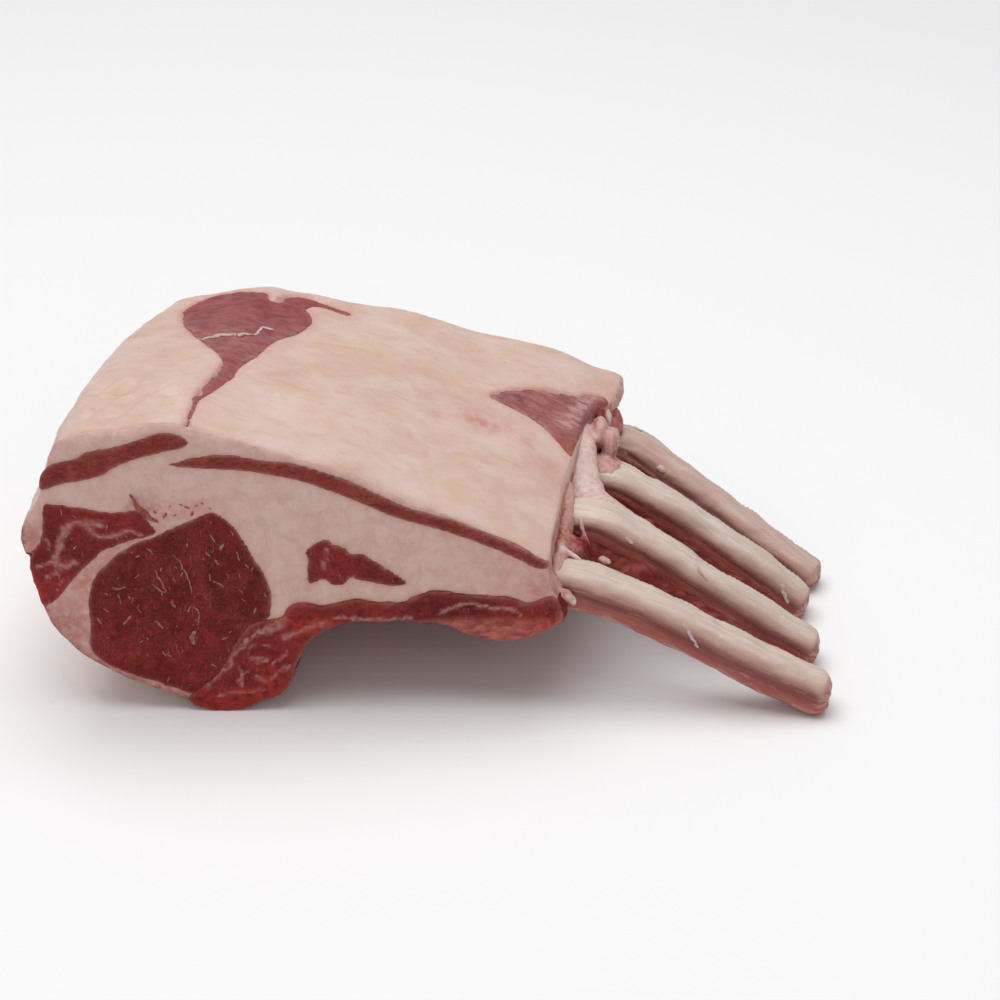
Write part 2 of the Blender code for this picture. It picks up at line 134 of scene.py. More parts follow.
RIB_WINDOW = (
    (-2.4, 60.5), (0, 63.8), (4.1, 66.8), (9.5, 70.2), (14.2, 72.3), (17.7, 73.4), (21.3, 75.2),
    (25.3, 78.9), (30, 79), (30.4, 74.9), (28.3, 69.4), (26.6, 64.3), (24.3, 59.6), (22, 54.5),
    (20.3, 49.9), (19.1, 47), (17.6, 48.5), (15.5, 50.9), (12.8, 53.4), (9.6, 55.6), (5.9, 56.9),
    (2.1, 58.3),
)


class Slot(Enum):
    """The record's material slots."""

    FAT = "fat"
    DARK_LEAN = "dark_lean"
    COVER_LEAN = "cover_lean"
    BONE = "bone"


@dataclass(frozen=True)
class RackForm:
    """How the front cut is carried back along the spine, and where the rack lies in the row frame."""

    depth: float = 96.0
    spine_x: float = -121.0
    face_width: float = 132.0
    skew_spine: float = 8.0
    skew_rib: float = 23.0
    tuck: float = 15.0
    fall_spine: float = -0.10
    rise_across: float = 0.06
    rise_rib: float = 0.18
    crown: float = 0.012
    centre_x: float = -15.4
    centre_depth: float = 45.1

    def shift(self, x: Array, share: Array) -> Array:
        """How far sideways a point moves, for its place across the cut and its share of the depth."""
        across = np.maximum((x - self.spine_x) / self.face_width, 0)
        skew = share * (self.skew_spine + (self.skew_rib - self.skew_spine) * across**2)
        return skew + self.tuck * share**3 * np.maximum(1 - across, 0) ** 2

    def growth(self, x: Array, share: Array) -> Array:
        """What a height is multiplied by, for a place across the cut and a share of the depth."""
        across = np.maximum((x - self.spine_x) / self.face_width, 0)
        slope = self.fall_spine + self.rise_across * across + self.rise_rib * across**3
        return 1 + share * slope + self.crown * 4 * share * (1 - share)

    def carry(self, points: Array) -> Array:
        """Carry points of the front cut back to their own depths.

        Args:
            points: Rows of x, depth and z, with x and z as on the front cut.

        Returns:
            Rows of x, depth and z where the points really lie.
        """
        x, depth, z = points.T
        share = depth / self.depth
        return np.column_stack((x + self.shift(x, share), depth, z * self.growth(x, share)))

    def front_of(self, points: Array) -> Array:
        """Undo carry, so that a real place is read against the outlines of the front cut."""
        real_x, depth, real_z = points.T
        share = depth / self.depth
        x = real_x.copy()
        for _ in range(8):
            x = real_x - self.shift(x, share)
        return np.column_stack((x, depth, real_z / self.growth(x, share)))

    def top(self, x: Array, depth: Array) -> Array:
        """Height of the plain top surface over a place seen from above."""
        share = depth / self.depth
        front_x = self.front_of(np.column_stack((x, depth, np.ones_like(x))))[:, 0]
        edge = smooth_path(TOP_EDGE, 1.5, closed=False)
        return np.interp(front_x, edge[:, 0], edge[:, 1]) * self.growth(front_x, share)

    def in_metres(self, points: Array) -> Array:
        """Rows of the chop frame, in metres of the row frame."""
        return (points - (self.centre_x, self.centre_depth, 0)) * MM


FORM = RackForm()


def smooth_path(points: Points, spacing: float, closed: bool) -> Array:
    """A smooth line through points, resampled.

    Args:
        points: The places that the line goes through, of any number of dimensions.
        spacing: About how far apart the new points are.
        closed: Whether the line comes back to its start.

    Returns:
        One row for each new point.
    """
    given = np.asarray(points, float)
    count = len(given)
    found = []
    for i in range(count if closed else count - 1):
        picks = [(i + k) % count if closed else min(max(i + k, 0), count - 1) for k in (-1, 0, 1, 2)]
        before, start, end, after = given[picks]
        steps = max(1, round(np.linalg.norm((end - start)[:3]) / spacing))
        share = (np.arange(steps) / steps)[:, None]
        found.append(
            0.5
            * (
                2 * start
                + (end - before) * share
                + (2 * before - 5 * start + 4 * end - after) * share**2
                + (3 * start - before - 3 * end + after) * share**3
            )
        )
    if not closed:
        found.append(given[-1:])
    return np.vstack(found)


def grain(points: Array, sizes: Sequence[float], octaves: int = 3, seed: float = 0.0) -> Array:
    """Smooth random relief.

    Args:
        points: Rows of places.
        sizes: Size of the grain along each axis.
        octaves: How many finer layers are added.
        seed: Picks the pattern.

    Returns:
        A value for each row, mostly between -1 and 1.
    """
    scaled = points / np.asarray(sizes, float) + seed * 17.3
    return np.array([noise.fractal(place, 1.0, 2.0, octaves) for place in scaled.tolist()])


def ragged(loop: Array, amount: float, wavelength: float, seed: float) -> Array:
    """A closed clockwise loop, pushed in and out unevenly along its length."""
    along = np.roll(loop, -1, axis=0) - np.roll(loop, 1, axis=0)
    along /= np.linalg.norm(along, axis=1)[:, None]
    outward = np.column_stack((-along[:, 1], along[:, 0]))
    flat = np.column_stack((loop[:, 0], np.zeros(len(loop)), loop[:, 1]))
    push = amount * (
        grain(flat, [wavelength] * 3, 2, seed) + 0.6 * grain(flat, [wavelength * 0.35] * 3, 2, seed + 5)
    )
    return loop + outward * push[:, None]


def inside(points: Array, loop: Array) -> Array:
    """How far each flat point lies inside a loop, or outside it as a negative number."""
    nearest = np.full(len(points), np.inf)
    within = np.zeros(len(points), bool)
    for start, end in zip(loop, np.roll(loop, -1, axis=0)):
        edge = end - start
        offset = points - start
        share = np.clip(offset @ edge / max(edge @ edge, 1e-12), 0, 1)
        gap = offset - share[:, None] * edge
        nearest = np.minimum(nearest, np.einsum("ij,ij->i", gap, gap))
        crosses = (start[1] > points[:, 1]) != (end[1] > points[:, 1])
        if edge[1]:
            reach = edge[0] * (points[:, 1] - start[1]) / edge[1] + start[0]
            within ^= crosses & (points[:, 0] < reach)
    return np.sqrt(nearest) * np.where(within, 1, -1)


def outward_near(points: Array, loop: Array) -> Array:
    """The direction out of a clockwise loop at its place nearest to each flat point."""
    nearest = np.full(len(points), np.inf)
    found = np.zeros((len(points), 2))
    for start, end in zip(loop, np.roll(loop, -1, axis=0)):
        edge = end - start
        offset = points - start
        share = np.clip(offset @ edge / max(edge @ edge, 1e-12), 0, 1)
        gap = ((offset - share[:, None] * edge) ** 2).sum(axis=1)
        closer = gap < nearest
        nearest = np.where(closer, gap, nearest)
        found[closer] = np.array((-edge[1], edge[0])) / max(np.linalg.norm(edge), 1e-9)
    return found


def rise(value: Array, low: float, high: float) -> Array:
    """A smooth step from 0 at low to 1 at high."""
    share = np.clip((value - low) / (high - low), 0, 1)
    return share * share * (3 - 2 * share)


def spots(points: Array, centres: Points) -> Array:
    """Soft round spots: each centre is a place, then its size and its strength."""
    total = np.zeros(len(points))
    for *place, size, strength in centres:
        gap = points - np.asarray(place, float)
        total += strength * np.exp(-np.einsum("ij,ij->i", gap, gap) / size**2)
    return total


def seamed(section: Array, seams: tuple) -> Array:
    """How much of a pale seam there is at flat places, from seams of a width and a path each."""
    found = np.zeros(len(section))
    flat = np.column_stack((section[:, 0], np.zeros(len(section)), section[:, 1]))
    wander = np.column_stack([0.7 * grain(flat, (1.8, 1.8, 1.8), 3, seed) for seed in (21.0, 22.0)])
    uneven = 1 + 0.6 * grain(flat, (1.4, 1.4, 1.4), 2, 23.0)
    for width, points in seams:
        gap = near_path(section + wander, smooth_path(points, 0.6, closed=False))
        found = np.maximum(found, np.exp(-((gap / (0.42 * width * uneven)) ** 2)))
    return found


def near_path(points: Array, path: Array) -> Array:
    """Distance from each point to an open line."""
    nearest = np.full(len(points), np.inf)
    for start, end in zip(path[:-1], path[1:]):
        edge = end - start
        offset = points - start
        share = np.clip(offset @ edge / max(edge @ edge, 1e-12), 0, 1)
        gap = offset - share[:, None] * edge
        nearest = np.minimum(nearest, np.einsum("ij,ij->i", gap, gap))
    return np.sqrt(nearest)


def places(mesh: bpy.types.Mesh) -> Array:
    """The mesh's points as rows."""
    flat = np.empty(len(mesh.vertices) * 3)
    mesh.vertices.foreach_get("co", flat)
    return flat.reshape(-1, 3)


def set_places(mesh: bpy.types.Mesh, points: Array) -> None:
    """Move the mesh's points."""
    mesh.vertices.foreach_set("co", points.ravel())
    mesh.update()


def facing(mesh: bpy.types.Mesh) -> Array:
    """The direction out of the surface at each point."""
    flat = np.empty(len(mesh.vertices) * 3)
    mesh.vertex_normals.foreach_get("vector", flat)
    return flat.reshape(-1, 3)


def paint(mesh: bpy.types.Mesh, name: str, values: Array) -> None:
    """Store one number for each point, for the finish to read."""
    layer = mesh.attributes.new(name, "FLOAT", "POINT")
    layer.data.foreach_set("value", np.asarray(values, np.float32))


def everything(shape: bmesh.types.BMesh) -> list:
    """All the points, edges and faces of a shape."""
    return [*shape.verts, *shape.edges, *shape.faces]


def drawn_through(loop: Array, start: float, end: float) -> bmesh.types.BMesh:
    """A loop of the front cut, filled and drawn through the depth from start to end."""
    shape = bmesh.new()
    rim = [shape.verts.new((x, start, z)) for x, z in loop]
    edges = [shape.edges.new((rim[i - 1], rim[i])) for i in range(len(rim))]
    bmesh.ops.contextual_create(shape, geom=edges)
    drawn = bmesh.ops.extrude_face_region(shape, geom=shape.faces[:], use_keep_orig=True)
    moved = [item for item in drawn["geom"] if isinstance(item, bmesh.types.BMVert)]
    bmesh.ops.translate(shape, verts=moved, vec=(0, end - start, 0))
    bmesh.ops.recalc_face_normals(shape, faces=shape.faces)
    return shape


def sliced(shape: bmesh.types.BMesh, axis: int, stations: Sequence[float]) -> None:
    """Cut a shape across an axis at each station, keeping both sides."""
    direction = [0, 0, 0]
    direction[axis] = 1
    for station in stations:
        place = [0, 0, 0]
        place[axis] = station
        bmesh.ops.bisect_plane(shape, geom=everything(shape), plane_co=place, plane_no=direction)


def between(low: float, high: float, spacing: float) -> Array:
    """Evenly spaced stations strictly between two limits."""
    count = max(1, round((high - low) / spacing))
    return np.linspace(low, high, count + 1)[1:-1]


def shape_places(shape: bmesh.types.BMesh) -> Array:
    """A shape's points as rows."""
    return np.array([vert.co[:] for vert in shape.verts])


def move_shape(shape: bmesh.types.BMesh, points: Array) -> None:
    """Put a shape's points at new places."""
    for vert, place in zip(shape.verts, points):
        vert.co = place


def as_mesh(shape: bmesh.types.BMesh, name: str) -> bpy.types.Mesh:
    """A mesh of a shape, which is used up."""
    mesh = bpy.data.meshes.new(name)
    shape.to_mesh(mesh)
    shape.free()
    return mesh


def modified(mesh: bpy.types.Mesh, prepare: Callable[[Piece], None]) -> bpy.types.Mesh:
    """A mesh with modifiers applied; prepare adds them to the object that holds it."""
    holder = bpy.data.objects.new("holder", mesh)
    bpy.context.scene.collection.objects.link(holder)
    prepare(holder)
    graph = bpy.context.evaluated_depsgraph_get()
    result = bpy.data.meshes.new_from_object(holder.evaluated_get(graph))
    bpy.data.objects.remove(holder)
    bpy.data.meshes.remove(mesh)
    return result


def remeshed(shape: bmesh.types.BMesh, voxel: float, rounds: int) -> bpy.types.Mesh:
    """One even skin over a shape made of overlapping solids, softened a little.

    Args:
        shape: The overlapping solids, which are used up.
        voxel: Size of the skin's cells.
        rounds: How many times the skin is smoothed.

    Returns:
        The new mesh.
    """

    def prepare(holder: Piece) -> None:
        """Add the two modifiers."""
        cells = holder.modifiers.new("cells", "REMESH")
        cells.mode = "VOXEL"
        cells.voxel_size = voxel
        soft = holder.modifiers.new("soft", "SMOOTH")
        soft.factor = 0.5
        soft.iterations = rounds

    return modified(as_mesh(shape, "core"), prepare)


def lobe(
    shape: bmesh.types.BMesh, centre: Sequence[float], halves: Sequence[float], turn: float = 0.0,
    tip: float = 0.0,
) -> None:
    """Add a rounded lump.

    Args:
        shape: Where it is added.
        centre: Its middle.
        halves: Its half sizes along x, the depth and z.
        turn: How far it is turned about the vertical, in degrees.
        tip: How far it is turned about the depth axis, in degrees.
    """
    made = bmesh.ops.create_icosphere(shape, subdivisions=3, radius=1.0)
    matrix = (
        Matrix.Translation(centre)
        @ Matrix.Rotation(math.radians(turn), 4, "Z")
        @ Matrix.Rotation(math.radians(tip), 4, "Y")
        @ Matrix.Diagonal((*halves, 1))
    )
    bmesh.ops.transform(shape, matrix=matrix, verts=made["verts"])


def swept(
    shape: bmesh.types.BMesh, route: Array, widths: Array, heights: Array, sides: int = 10,
    up: Sequence[float] = (0, 0, 1),
) -> list[bmesh.types.BMVert]:
    """Sweep an oval along a route, with closed ends.

    Args:
        shape: Where it is added.
        route: Rows of places.
        widths: Half width at each place, across the route and level.
        heights: Half height at each place.
        sides: Points round the oval.
        up: The direction that the height is measured along.

    Returns:
        The new points.
    """
    frames = []
    along, across = Vector((0, 0, 1)), Vector((1, 0, 0))
    for i, place in enumerate(route):
        step = Vector(route[min(i + 1, len(route) - 1)] - route[max(i - 1, 0)])
        along = step.normalized() if step.length > 1e-4 else along
        across = (across - along * across.dot(along)).normalized()
        level = Vector(up).cross(along)
        across = level.normalized() if level.length > 0.1 else across
        rising = along.cross(across)
        turn = Matrix((across, rising, along)).transposed().to_4x4()
        size = Matrix.Diagonal((max(widths[i], 1e-3), max(heights[i], 1e-3), 1, 1))
        frames.append(Matrix.Translation(place) @ turn @ size)
    made = bmesh.ops.create_circle(shape, cap_ends=True, segments=sides, radius=1.0)["verts"]
    bmesh.ops.transform(shape, matrix=frames[0], verts=made)
    found = list(made)
    edges = list({edge for vert in made for edge in vert.link_edges})
    for i in range(1, len(frames)):
        drawn = bmesh.ops.extrude_edge_only(shape, edges=edges)["geom"]
        made = [item for item in drawn if isinstance(item, bmesh.types.BMVert)]
        edges = [
            item for item in drawn
            if isinstance(item, bmesh.types.BMEdge) and item.verts[0] in made and item.verts[1] in made
        ]
        bmesh.ops.transform(shape, matrix=frames[i] @ frames[i - 1].inverted(), verts=made)
        found.extend(made)
    bmesh.ops.contextual_create(shape, geom=edges)
    return found


def finish_piece(mesh: bpy.types.Mesh, name: str, finish: bpy.types.Material, slot: Slot, *nodes: str) -> Piece:
    """Make the visible piece from a mesh in the chop frame.

    Args:
        mesh: The mesh, in millimetres.
        name: The piece's name.
        finish: Its material.
        slot: The record's slot for the piece's finish. Not used.
        nodes: The CAD nodes that it stands for.

    Returns:
        The piece, riding on the root.
    """
    set_places(mesh, FORM.in_metres(places(mesh)))
    mesh.name = name
    mesh.materials.clear()
    mesh.materials.append(finish)
    mesh.shade_smooth()
    piece = bpy.data.objects.new(name, mesh)
    bpy.context.scene.collection.objects.link(piece)
    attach(piece, "root")
    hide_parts(*nodes)
    LOG.info("%s: %d points, %d faces", name, len(mesh.vertices), len(mesh.polygons))
    return piece


class Recipe:
    """A material in the making. Each call adds a node and gives back its output."""

    def __init__(self, name: str) -> None:
        """Start with a Principled shader and the Object coordinates in millimetres."""
        self.material = bpy.data.materials.new(name)
        self.material.use_nodes = True
        self.tree = self.material.node_tree
        self.shader = self.tree.nodes["Principled BSDF"]
        place = self.tree.nodes.new("ShaderNodeTexCoord").outputs["Object"]
        self.place = self.stretched(place, (1 / MM, 1 / MM, 1 / MM))

    def add(self, kind: str, inputs: dict, **settings: object) -> bpy.types.Node:
        """Add a node.

        Args:
            kind: The node's type.
            inputs: Input name or number to a value or to another node's output.
            settings: The node's own options.

        Returns:
            The node.
        """
        node = self.tree.nodes.new(kind)
        for key, value in settings.items():
            setattr(node, key, value)
        for key, value in inputs.items():
            if isinstance(value, bpy.types.NodeSocket):
                self.tree.links.new(value, node.inputs[key])
            else:
                node.inputs[key].default_value = value
        return node

    def stretched(self, vector: Socket, scale: Sequence[float], turn: Sequence[float] = (0, 0, 0)) -> Socket:
        """Coordinates that are turned, in degrees, and multiplied along each axis."""
        angles = [math.radians(angle) for angle in turn]
        return self.add(
            "ShaderNodeMapping", {"Vector": vector, "Rotation": angles, "Scale": scale}
        ).outputs["Vector"]

    def noise(
        self, size: float | Sequence[float], detail: float = 3.0, rough: float = 0.55,
        distort: float = 0.0, turn: Sequence[float] = (0, 0, 0), at: Sequence[float] = (0, 0, 0),
        over: Socket | None = None,
    ) -> Socket:
        """Noise from 0 to 1.

        Args:
            size: Size of its spots in millimetres, one number or one for each axis.
            detail: How many finer layers it has.
            rough: How strong the finer layers are.
            distort: How much it swirls.
            turn: How far the pattern is turned, in degrees.
            at: Where the pattern starts, in its own cells.
            over: The coordinates, in millimetres, when they are not the Object ones.

        Returns:
            The noise.
        """
        sizes = size if isinstance(size, Sequence) else (size, size, size)
        mapped = self.add(
            "ShaderNodeMapping",
            {
                "Vector": over or self.place,
                "Rotation": [math.radians(angle) for angle in turn],
                "Scale": [1 / each for each in sizes],
                "Location": at,
            },
        ).outputs["Vector"]
        inputs = {"Vector": mapped, "Scale": 1.0, "Detail": detail, "Roughness": rough, "Distortion": distort}
        return self.add("ShaderNodeTexNoise", inputs).outputs["Fac"]

    def cells(self, size: float | Sequence[float], feature: str = "DISTANCE_TO_EDGE") -> Socket:
        """Distance within irregular cells of a size in millimetres."""
        sizes = size if isinstance(size, Sequence) else (size, size, size)
        wobble = self.noise(min(sizes) * 1.6, 2.0)
        moved = self.add(
            "ShaderNodeVectorMath", {0: self.stretched(self.place, [1 / each for each in sizes]), 1: wobble},
            operation="ADD",
        ).outputs["Vector"]
        return self.add(
            "ShaderNodeTexVoronoi", {"Vector": moved, "Scale": 1.0}, feature=feature
        ).outputs["Distance"]

    def painted(self, name: str) -> Socket:
        """A number stored on the piece's points."""
        return self.add("ShaderNodeAttribute", {}, attribute_name=name).outputs["Fac"]

    def painted_place(self, first: str, second: str) -> Socket:
        """Coordinates from two numbers stored on the piece's points."""
        return self.add(
            "ShaderNodeCombineXYZ", {0: self.painted(first), 1: self.painted(second)}
        ).outputs["Vector"]

    def span(self, value: Socket, low: float, high: float, start: float = 0.0, end: float = 1.0) -> Socket:
        """A smooth step from start, where the value is low, to end, where it is high."""
        inputs = {"Value": value, "From Min": low, "From Max": high, "To Min": start, "To Max": end}
        return self.add("ShaderNodeMapRange", inputs, interpolation_type="SMOOTHSTEP").outputs["Result"]

    def math(self, operation: str, first: Socket | float, second: Socket | float = 0.0) -> Socket:
        """Arithmetic on two values."""
        return self.add("ShaderNodeMath", {0: first, 1: second}, operation=operation).outputs[0]

    def capped(self, value: Socket) -> Socket:
        """A value kept from passing 1."""
        return self.math("MINIMUM", value, 1.0)

    def times(self, *values: Socket | float) -> Socket:
        """The product of the values."""
        total = values[0]
        for value in values[1:]:
            total = self.math("MULTIPLY", total, value)
        return total

    def plus(self, *values: Socket | float) -> Socket:
        """The sum of the values."""
        total = values[0]
        for value in values[1:]:
            total = self.math("ADD", total, value)
        return total

    def ramp(self, value: Socket, stops: Sequence[tuple[float, Colour]]) -> Socket:
        """A colour picked by a value, from stops of a place and a colour each, at 0 first and 1 last."""
        node = self.add("ShaderNodeValToRGB", {"Fac": value})
        elements = node.color_ramp.elements
        elements[0].color = (*stops[0][1], 1.0)
        elements[1].color = (*stops[-1][1], 1.0)
        for place, colour in stops[1:-1]:
            elements.new(place).color = (*colour, 1.0)
        return node.outputs["Color"]

    def mix(self, share: Socket | float, first: Socket | Colour, second: Socket | Colour) -> Socket:
        """A colour between two."""
        inputs = {0: share, 6: self.opaque(first), 7: self.opaque(second)}
        return self.add("ShaderNodeMix", inputs, data_type="RGBA").outputs[2]

    @staticmethod
    def opaque(colour: Socket | Colour) -> Socket | tuple[float, ...]:
        """A colour with its alpha, or the socket as it is."""
        return colour if isinstance(colour, bpy.types.NodeSocket) else (*colour, 1.0)

    def bump(self, height: Socket, distance: float, strength: float = 1.0, under: Socket | None = None) -> Socket:
        """Relief of a depth in millimetres, over any relief under it."""
        inputs = {"Height": height, "Distance": distance * MM, "Strength": strength}
        if under is not None:
            inputs["Normal"] = under
        return self.add("ShaderNodeBump", inputs).outputs["Normal"]

    def cook(self, colour: Socket, roughness: Socket | float, normal: Socket, **constants: object) -> bpy.types.Material:
        """Connect the shader.

        Args:
            colour: The base colour.
            roughness: The roughness.
            normal: The relief.
            constants: Other shader inputs by name, with spaces as underscores.

        Returns:
            The finished material.
        """
        self.tree.links.new(colour, self.shader.inputs["Base Color"])
        self.tree.links.new(normal, self.shader.inputs["Normal"])
        if isinstance(roughness, bpy.types.NodeSocket):
            self.tree.links.new(roughness, self.shader.inputs["Roughness"])
        else:
            self.shader.inputs["Roughness"].default_value = roughness
        for name, value in constants.items():
            self.shader.inputs[name.replace("_", " ")].default_value = value
        return self.material


@dataclass(frozen=True)
class FatFinish:
    """Raw fat: creamy where it is thick, pink where it is thin or near lean, faintly clouded."""

    cream: Colour = (0.63, 0.435, 0.355)
    pale: Colour = (0.68, 0.5, 0.445)
    straw: Colour = (0.64, 0.45, 0.31)
    pink: Colour = (0.58, 0.28, 0.24)
    cut: Colour = (0.67, 0.47, 0.415)
    flesh: Colour = (0.3, 0.06, 0.045)

    def make(self) -> bpy.types.Material:
        """Build the material."""
        r = Recipe("raw fat")
        colour = r.mix(r.span(r.noise(30, 3.0, 0.6), 0.36, 0.62), self.cream, self.pale)
        colour = r.mix(r.times(r.span(r.noise((22, 14, 14), 3.0, 0.6, 0.5), 0.5, 0.68), 0.55), colour, self.straw)
        wisp = r.noise((12, 4.5, 7), 5.0, 0.66, 1.0, turn=(0, 0, -10))
        colour = r.mix(r.times(r.span(wisp, 0.53, 0.68), 0.3), colour, self.pink)
        haze = r.span(r.noise((13, 10, 10), 5.0, 0.6, 0.3), 0.42, 0.66)
        colour = r.mix(r.times(haze, 0.4), colour, (0.74, 0.6, 0.55))
        vein = r.times(r.span(r.noise((9, 2.2, 6), 3.0, 0.6, 1.6, turn=(0, 0, 24)), 0.6, 0.68), 0.35)
        colour = r.mix(vein, colour, (0.52, 0.34, 0.24))
        fleck = r.times(r.span(r.noise((3.5, 1.6, 3), 3.0, 0.6, 0.8), 0.64, 0.74), r.span(r.noise(17, 2.0), 0.5, 0.66))
        colour = r.mix(r.times(fleck, 0.5), colour, tuple(0.85 * c for c in self.pink))
        mottle = r.noise(4, 5.0, 0.66, 0.5)
        cut = r.mix(r.span(mottle, 0.36, 0.68), self.cut, (0.6, 0.38, 0.33))
        scratch = r.noise((0.8, 3, 4.5), 3.0, 0.7, 1.0, turn=(0, 24, 0))
        cut = r.mix(r.times(r.span(scratch, 0.58, 0.7), 0.4), cut, (0.78, 0.63, 0.58))
        cut = r.mix(r.span(scratch, 0.28, 0.4, 0.25, 0.0), cut, self.pink)
        colour = r.mix(r.painted("cut"), colour, cut)
        uneven = r.span(r.noise(2.4, 4.0, 0.65), 0.3, 0.7, 0.4, 1.3)
        colour = r.mix(r.capped(r.times(r.painted("flush"), uneven)), colour, self.pink)
        fibres = r.span(r.noise((1.6, 1.5, 9), 4.0, 0.65, 0.5, turn=(0, 10, 0)), 0.3, 0.68, 0.25, 1.25)
        colour = r.mix(r.capped(r.times(r.painted("fibrous"), fibres)), colour, (0.47, 0.19, 0.155))
        colour = r.mix(r.capped(r.times(r.painted("flesh"), uneven)), colour, self.flesh)
        waves = r.bump(r.noise((9, 4, 6), 3.0), 0.4, 0.4)
        skin = r.bump(r.noise((2.8, 1.3, 1.6), 4.0, 0.6, 0.4), 0.2, 0.5, waves)
        rough_cut = r.bump(r.times(r.painted("cut"), mottle), 0.9, 0.8, skin)
        pores = r.bump(r.noise(0.6, 3.0, 0.65), 0.08, 0.7, rough_cut)
        rough = r.span(r.noise(5, 3.0), 0.3, 0.7, 0.32, 0.5)
        return r.cook(
            colour, rough, pores, Subsurface_Weight=0.3, Subsurface_Radius=(1.0, 0.45, 0.3),
            Subsurface_Scale=0.0025, Specular_IOR_Level=0.35, IOR=1.45,
        )


@dataclass(frozen=True)
class LeanFinish:
    """Raw lean: dark and finely grained, with short pale flecks in two directions."""

    name: str
    dark: Colour
    light: Colour
    lit: Colour = (0.3, 0.065, 0.058)
    fat: Colour = (0.32, 0.13, 0.115)
    flecks: float = 0.5
    relief: float = 0.22
    wet: float = 0.36

    def make(self) -> bpy.types.Material:
        """Build the material."""
        r = Recipe(self.name)
        colour = r.mix(r.span(r.noise(6, 4.0, 0.65, 0.8), 0.36, 0.64), self.dark, self.light)
        grainy = r.noise((0.8, 2.4, 0.65), 4.0, 0.7)
        bundles = r.noise((2.2, 3.0, 1.4), 3.0, 0.65, 0.8)
        colour = r.mix(r.span(bundles, 0.36, 0.52, 0.55, 0.0), colour, tuple(0.42 * c for c in self.dark))
        colour = r.mix(r.span(grainy, 0.34, 0.5, 0.5, 0.0), colour, tuple(0.45 * c for c in self.dark))
        colour = r.mix(r.span(grainy, 0.52, 0.74, 0.0, 0.4), colour, self.lit)
        patch = r.span(r.noise(6, 3.0, 0.6), 0.4, 0.62)
        for turn, start in ((35, 0.0), (-40, 7.0)):
            short = r.noise((0.42, 4, 2.2), 2.0, 0.6, 0.6, turn=(0, turn, 0), at=(start, 0, start))
            colour = r.mix(r.times(r.span(short, 0.6, 0.72), patch, self.flecks), colour, self.fat)
        frayed = r.span(r.noise((1.5, 3, 1.5), 3.0, 0.6), 0.34, 0.62, 0.5, 1.15)
        colour = r.mix(r.capped(r.times(r.painted("frayed"), frayed)), colour, (0.43, 0.21, 0.19))
        veiled = r.span(r.noise((4, 3, 1.6), 4.0, 0.6, 0.6), 0.35, 0.62, 0.4, 1.1)
        colour = r.mix(r.capped(r.times(r.painted("membrane"), veiled)), colour, (0.45, 0.135, 0.105))
        smear = r.span(r.noise(1.8, 4.0, 0.68), 0.36, 0.64, 0.15, 1.0)
        colour = r.mix(r.capped(r.times(r.painted("bright"), smear)), colour, (0.38, 0.034, 0.027))
        swell = r.bump(r.noise((2.2, 8, 2.2), 4.0, 0.6), self.relief, 0.7)
        fibre = r.bump(r.noise((0.5, 2.5, 0.5), 3.0, 0.65), 0.1, 0.6, swell)
        rough = r.span(r.noise(1.6, 4.0, 0.6), 0.35, 0.65, self.wet - 0.04, self.wet + 0.16)
        return r.cook(
            colour, rough, fibre, Subsurface_Weight=0.08, Subsurface_Radius=(1.0, 0.2, 0.15),
            Subsurface_Scale=0.0012, Specular_IOR_Level=0.16, IOR=1.4,
        )


@dataclass(frozen=True)
class BaredFinish:
    """Lean under a thin membrane, as where the cover is pared off: mauve, streaked along its fibres."""

    base: Colour = (0.29, 0.062, 0.062)
    dark: Colour = (0.2, 0.035, 0.042)
    veil: Colour = (0.5, 0.27, 0.26)

    def make(self) -> bpy.types.Material:
        """Build the material."""
        r = Recipe("bared lean")
        colour = r.mix(r.span(r.noise(7, 3.0), 0.35, 0.65), self.dark, self.base)
        fibres = r.noise((3.2, 0.55, 2), 4.0, 0.62, 0.3)
        blotch = r.span(r.noise(3.2, 4.0, 0.62), 0.44, 0.64)
        colour = r.mix(r.times(blotch, 0.5), colour, (0.36, 0.075, 0.07))
        colour = r.mix(r.times(r.span(fibres, 0.46, 0.72), 0.3), colour, self.veil)
        colour = r.mix(r.span(fibres, 0.34, 0.5, 0.2, 0.0), colour, tuple(0.7 * c for c in self.dark))
        cloudy = r.span(r.noise((4, 2, 4), 4.0, 0.65, 0.5), 0.38, 0.66)
        colour = r.mix(r.capped(r.times(r.painted("veil"), r.plus(cloudy, 0.3))), colour, self.veil)
        orange = r.times(r.painted("warm"), r.span(r.noise(2, 3.0, 0.6), 0.3, 0.6, 0.4, 1.0))
        colour = r.mix(r.capped(orange), colour, (0.36, 0.075, 0.05))
        relief = r.bump(fibres, 0.22, 0.7)
        relief = r.bump(r.noise(1.6, 3.0), 0.2, 0.6, relief)
        return r.cook(
            colour, r.span(r.noise(2.4, 3.0), 0.3, 0.7, 0.3, 0.5), relief, Subsurface_Weight=0.12,
            Subsurface_Radius=(1.0, 0.3, 0.25), Subsurface_Scale=0.0018, Specular_IOR_Level=0.3, IOR=1.42,
        )


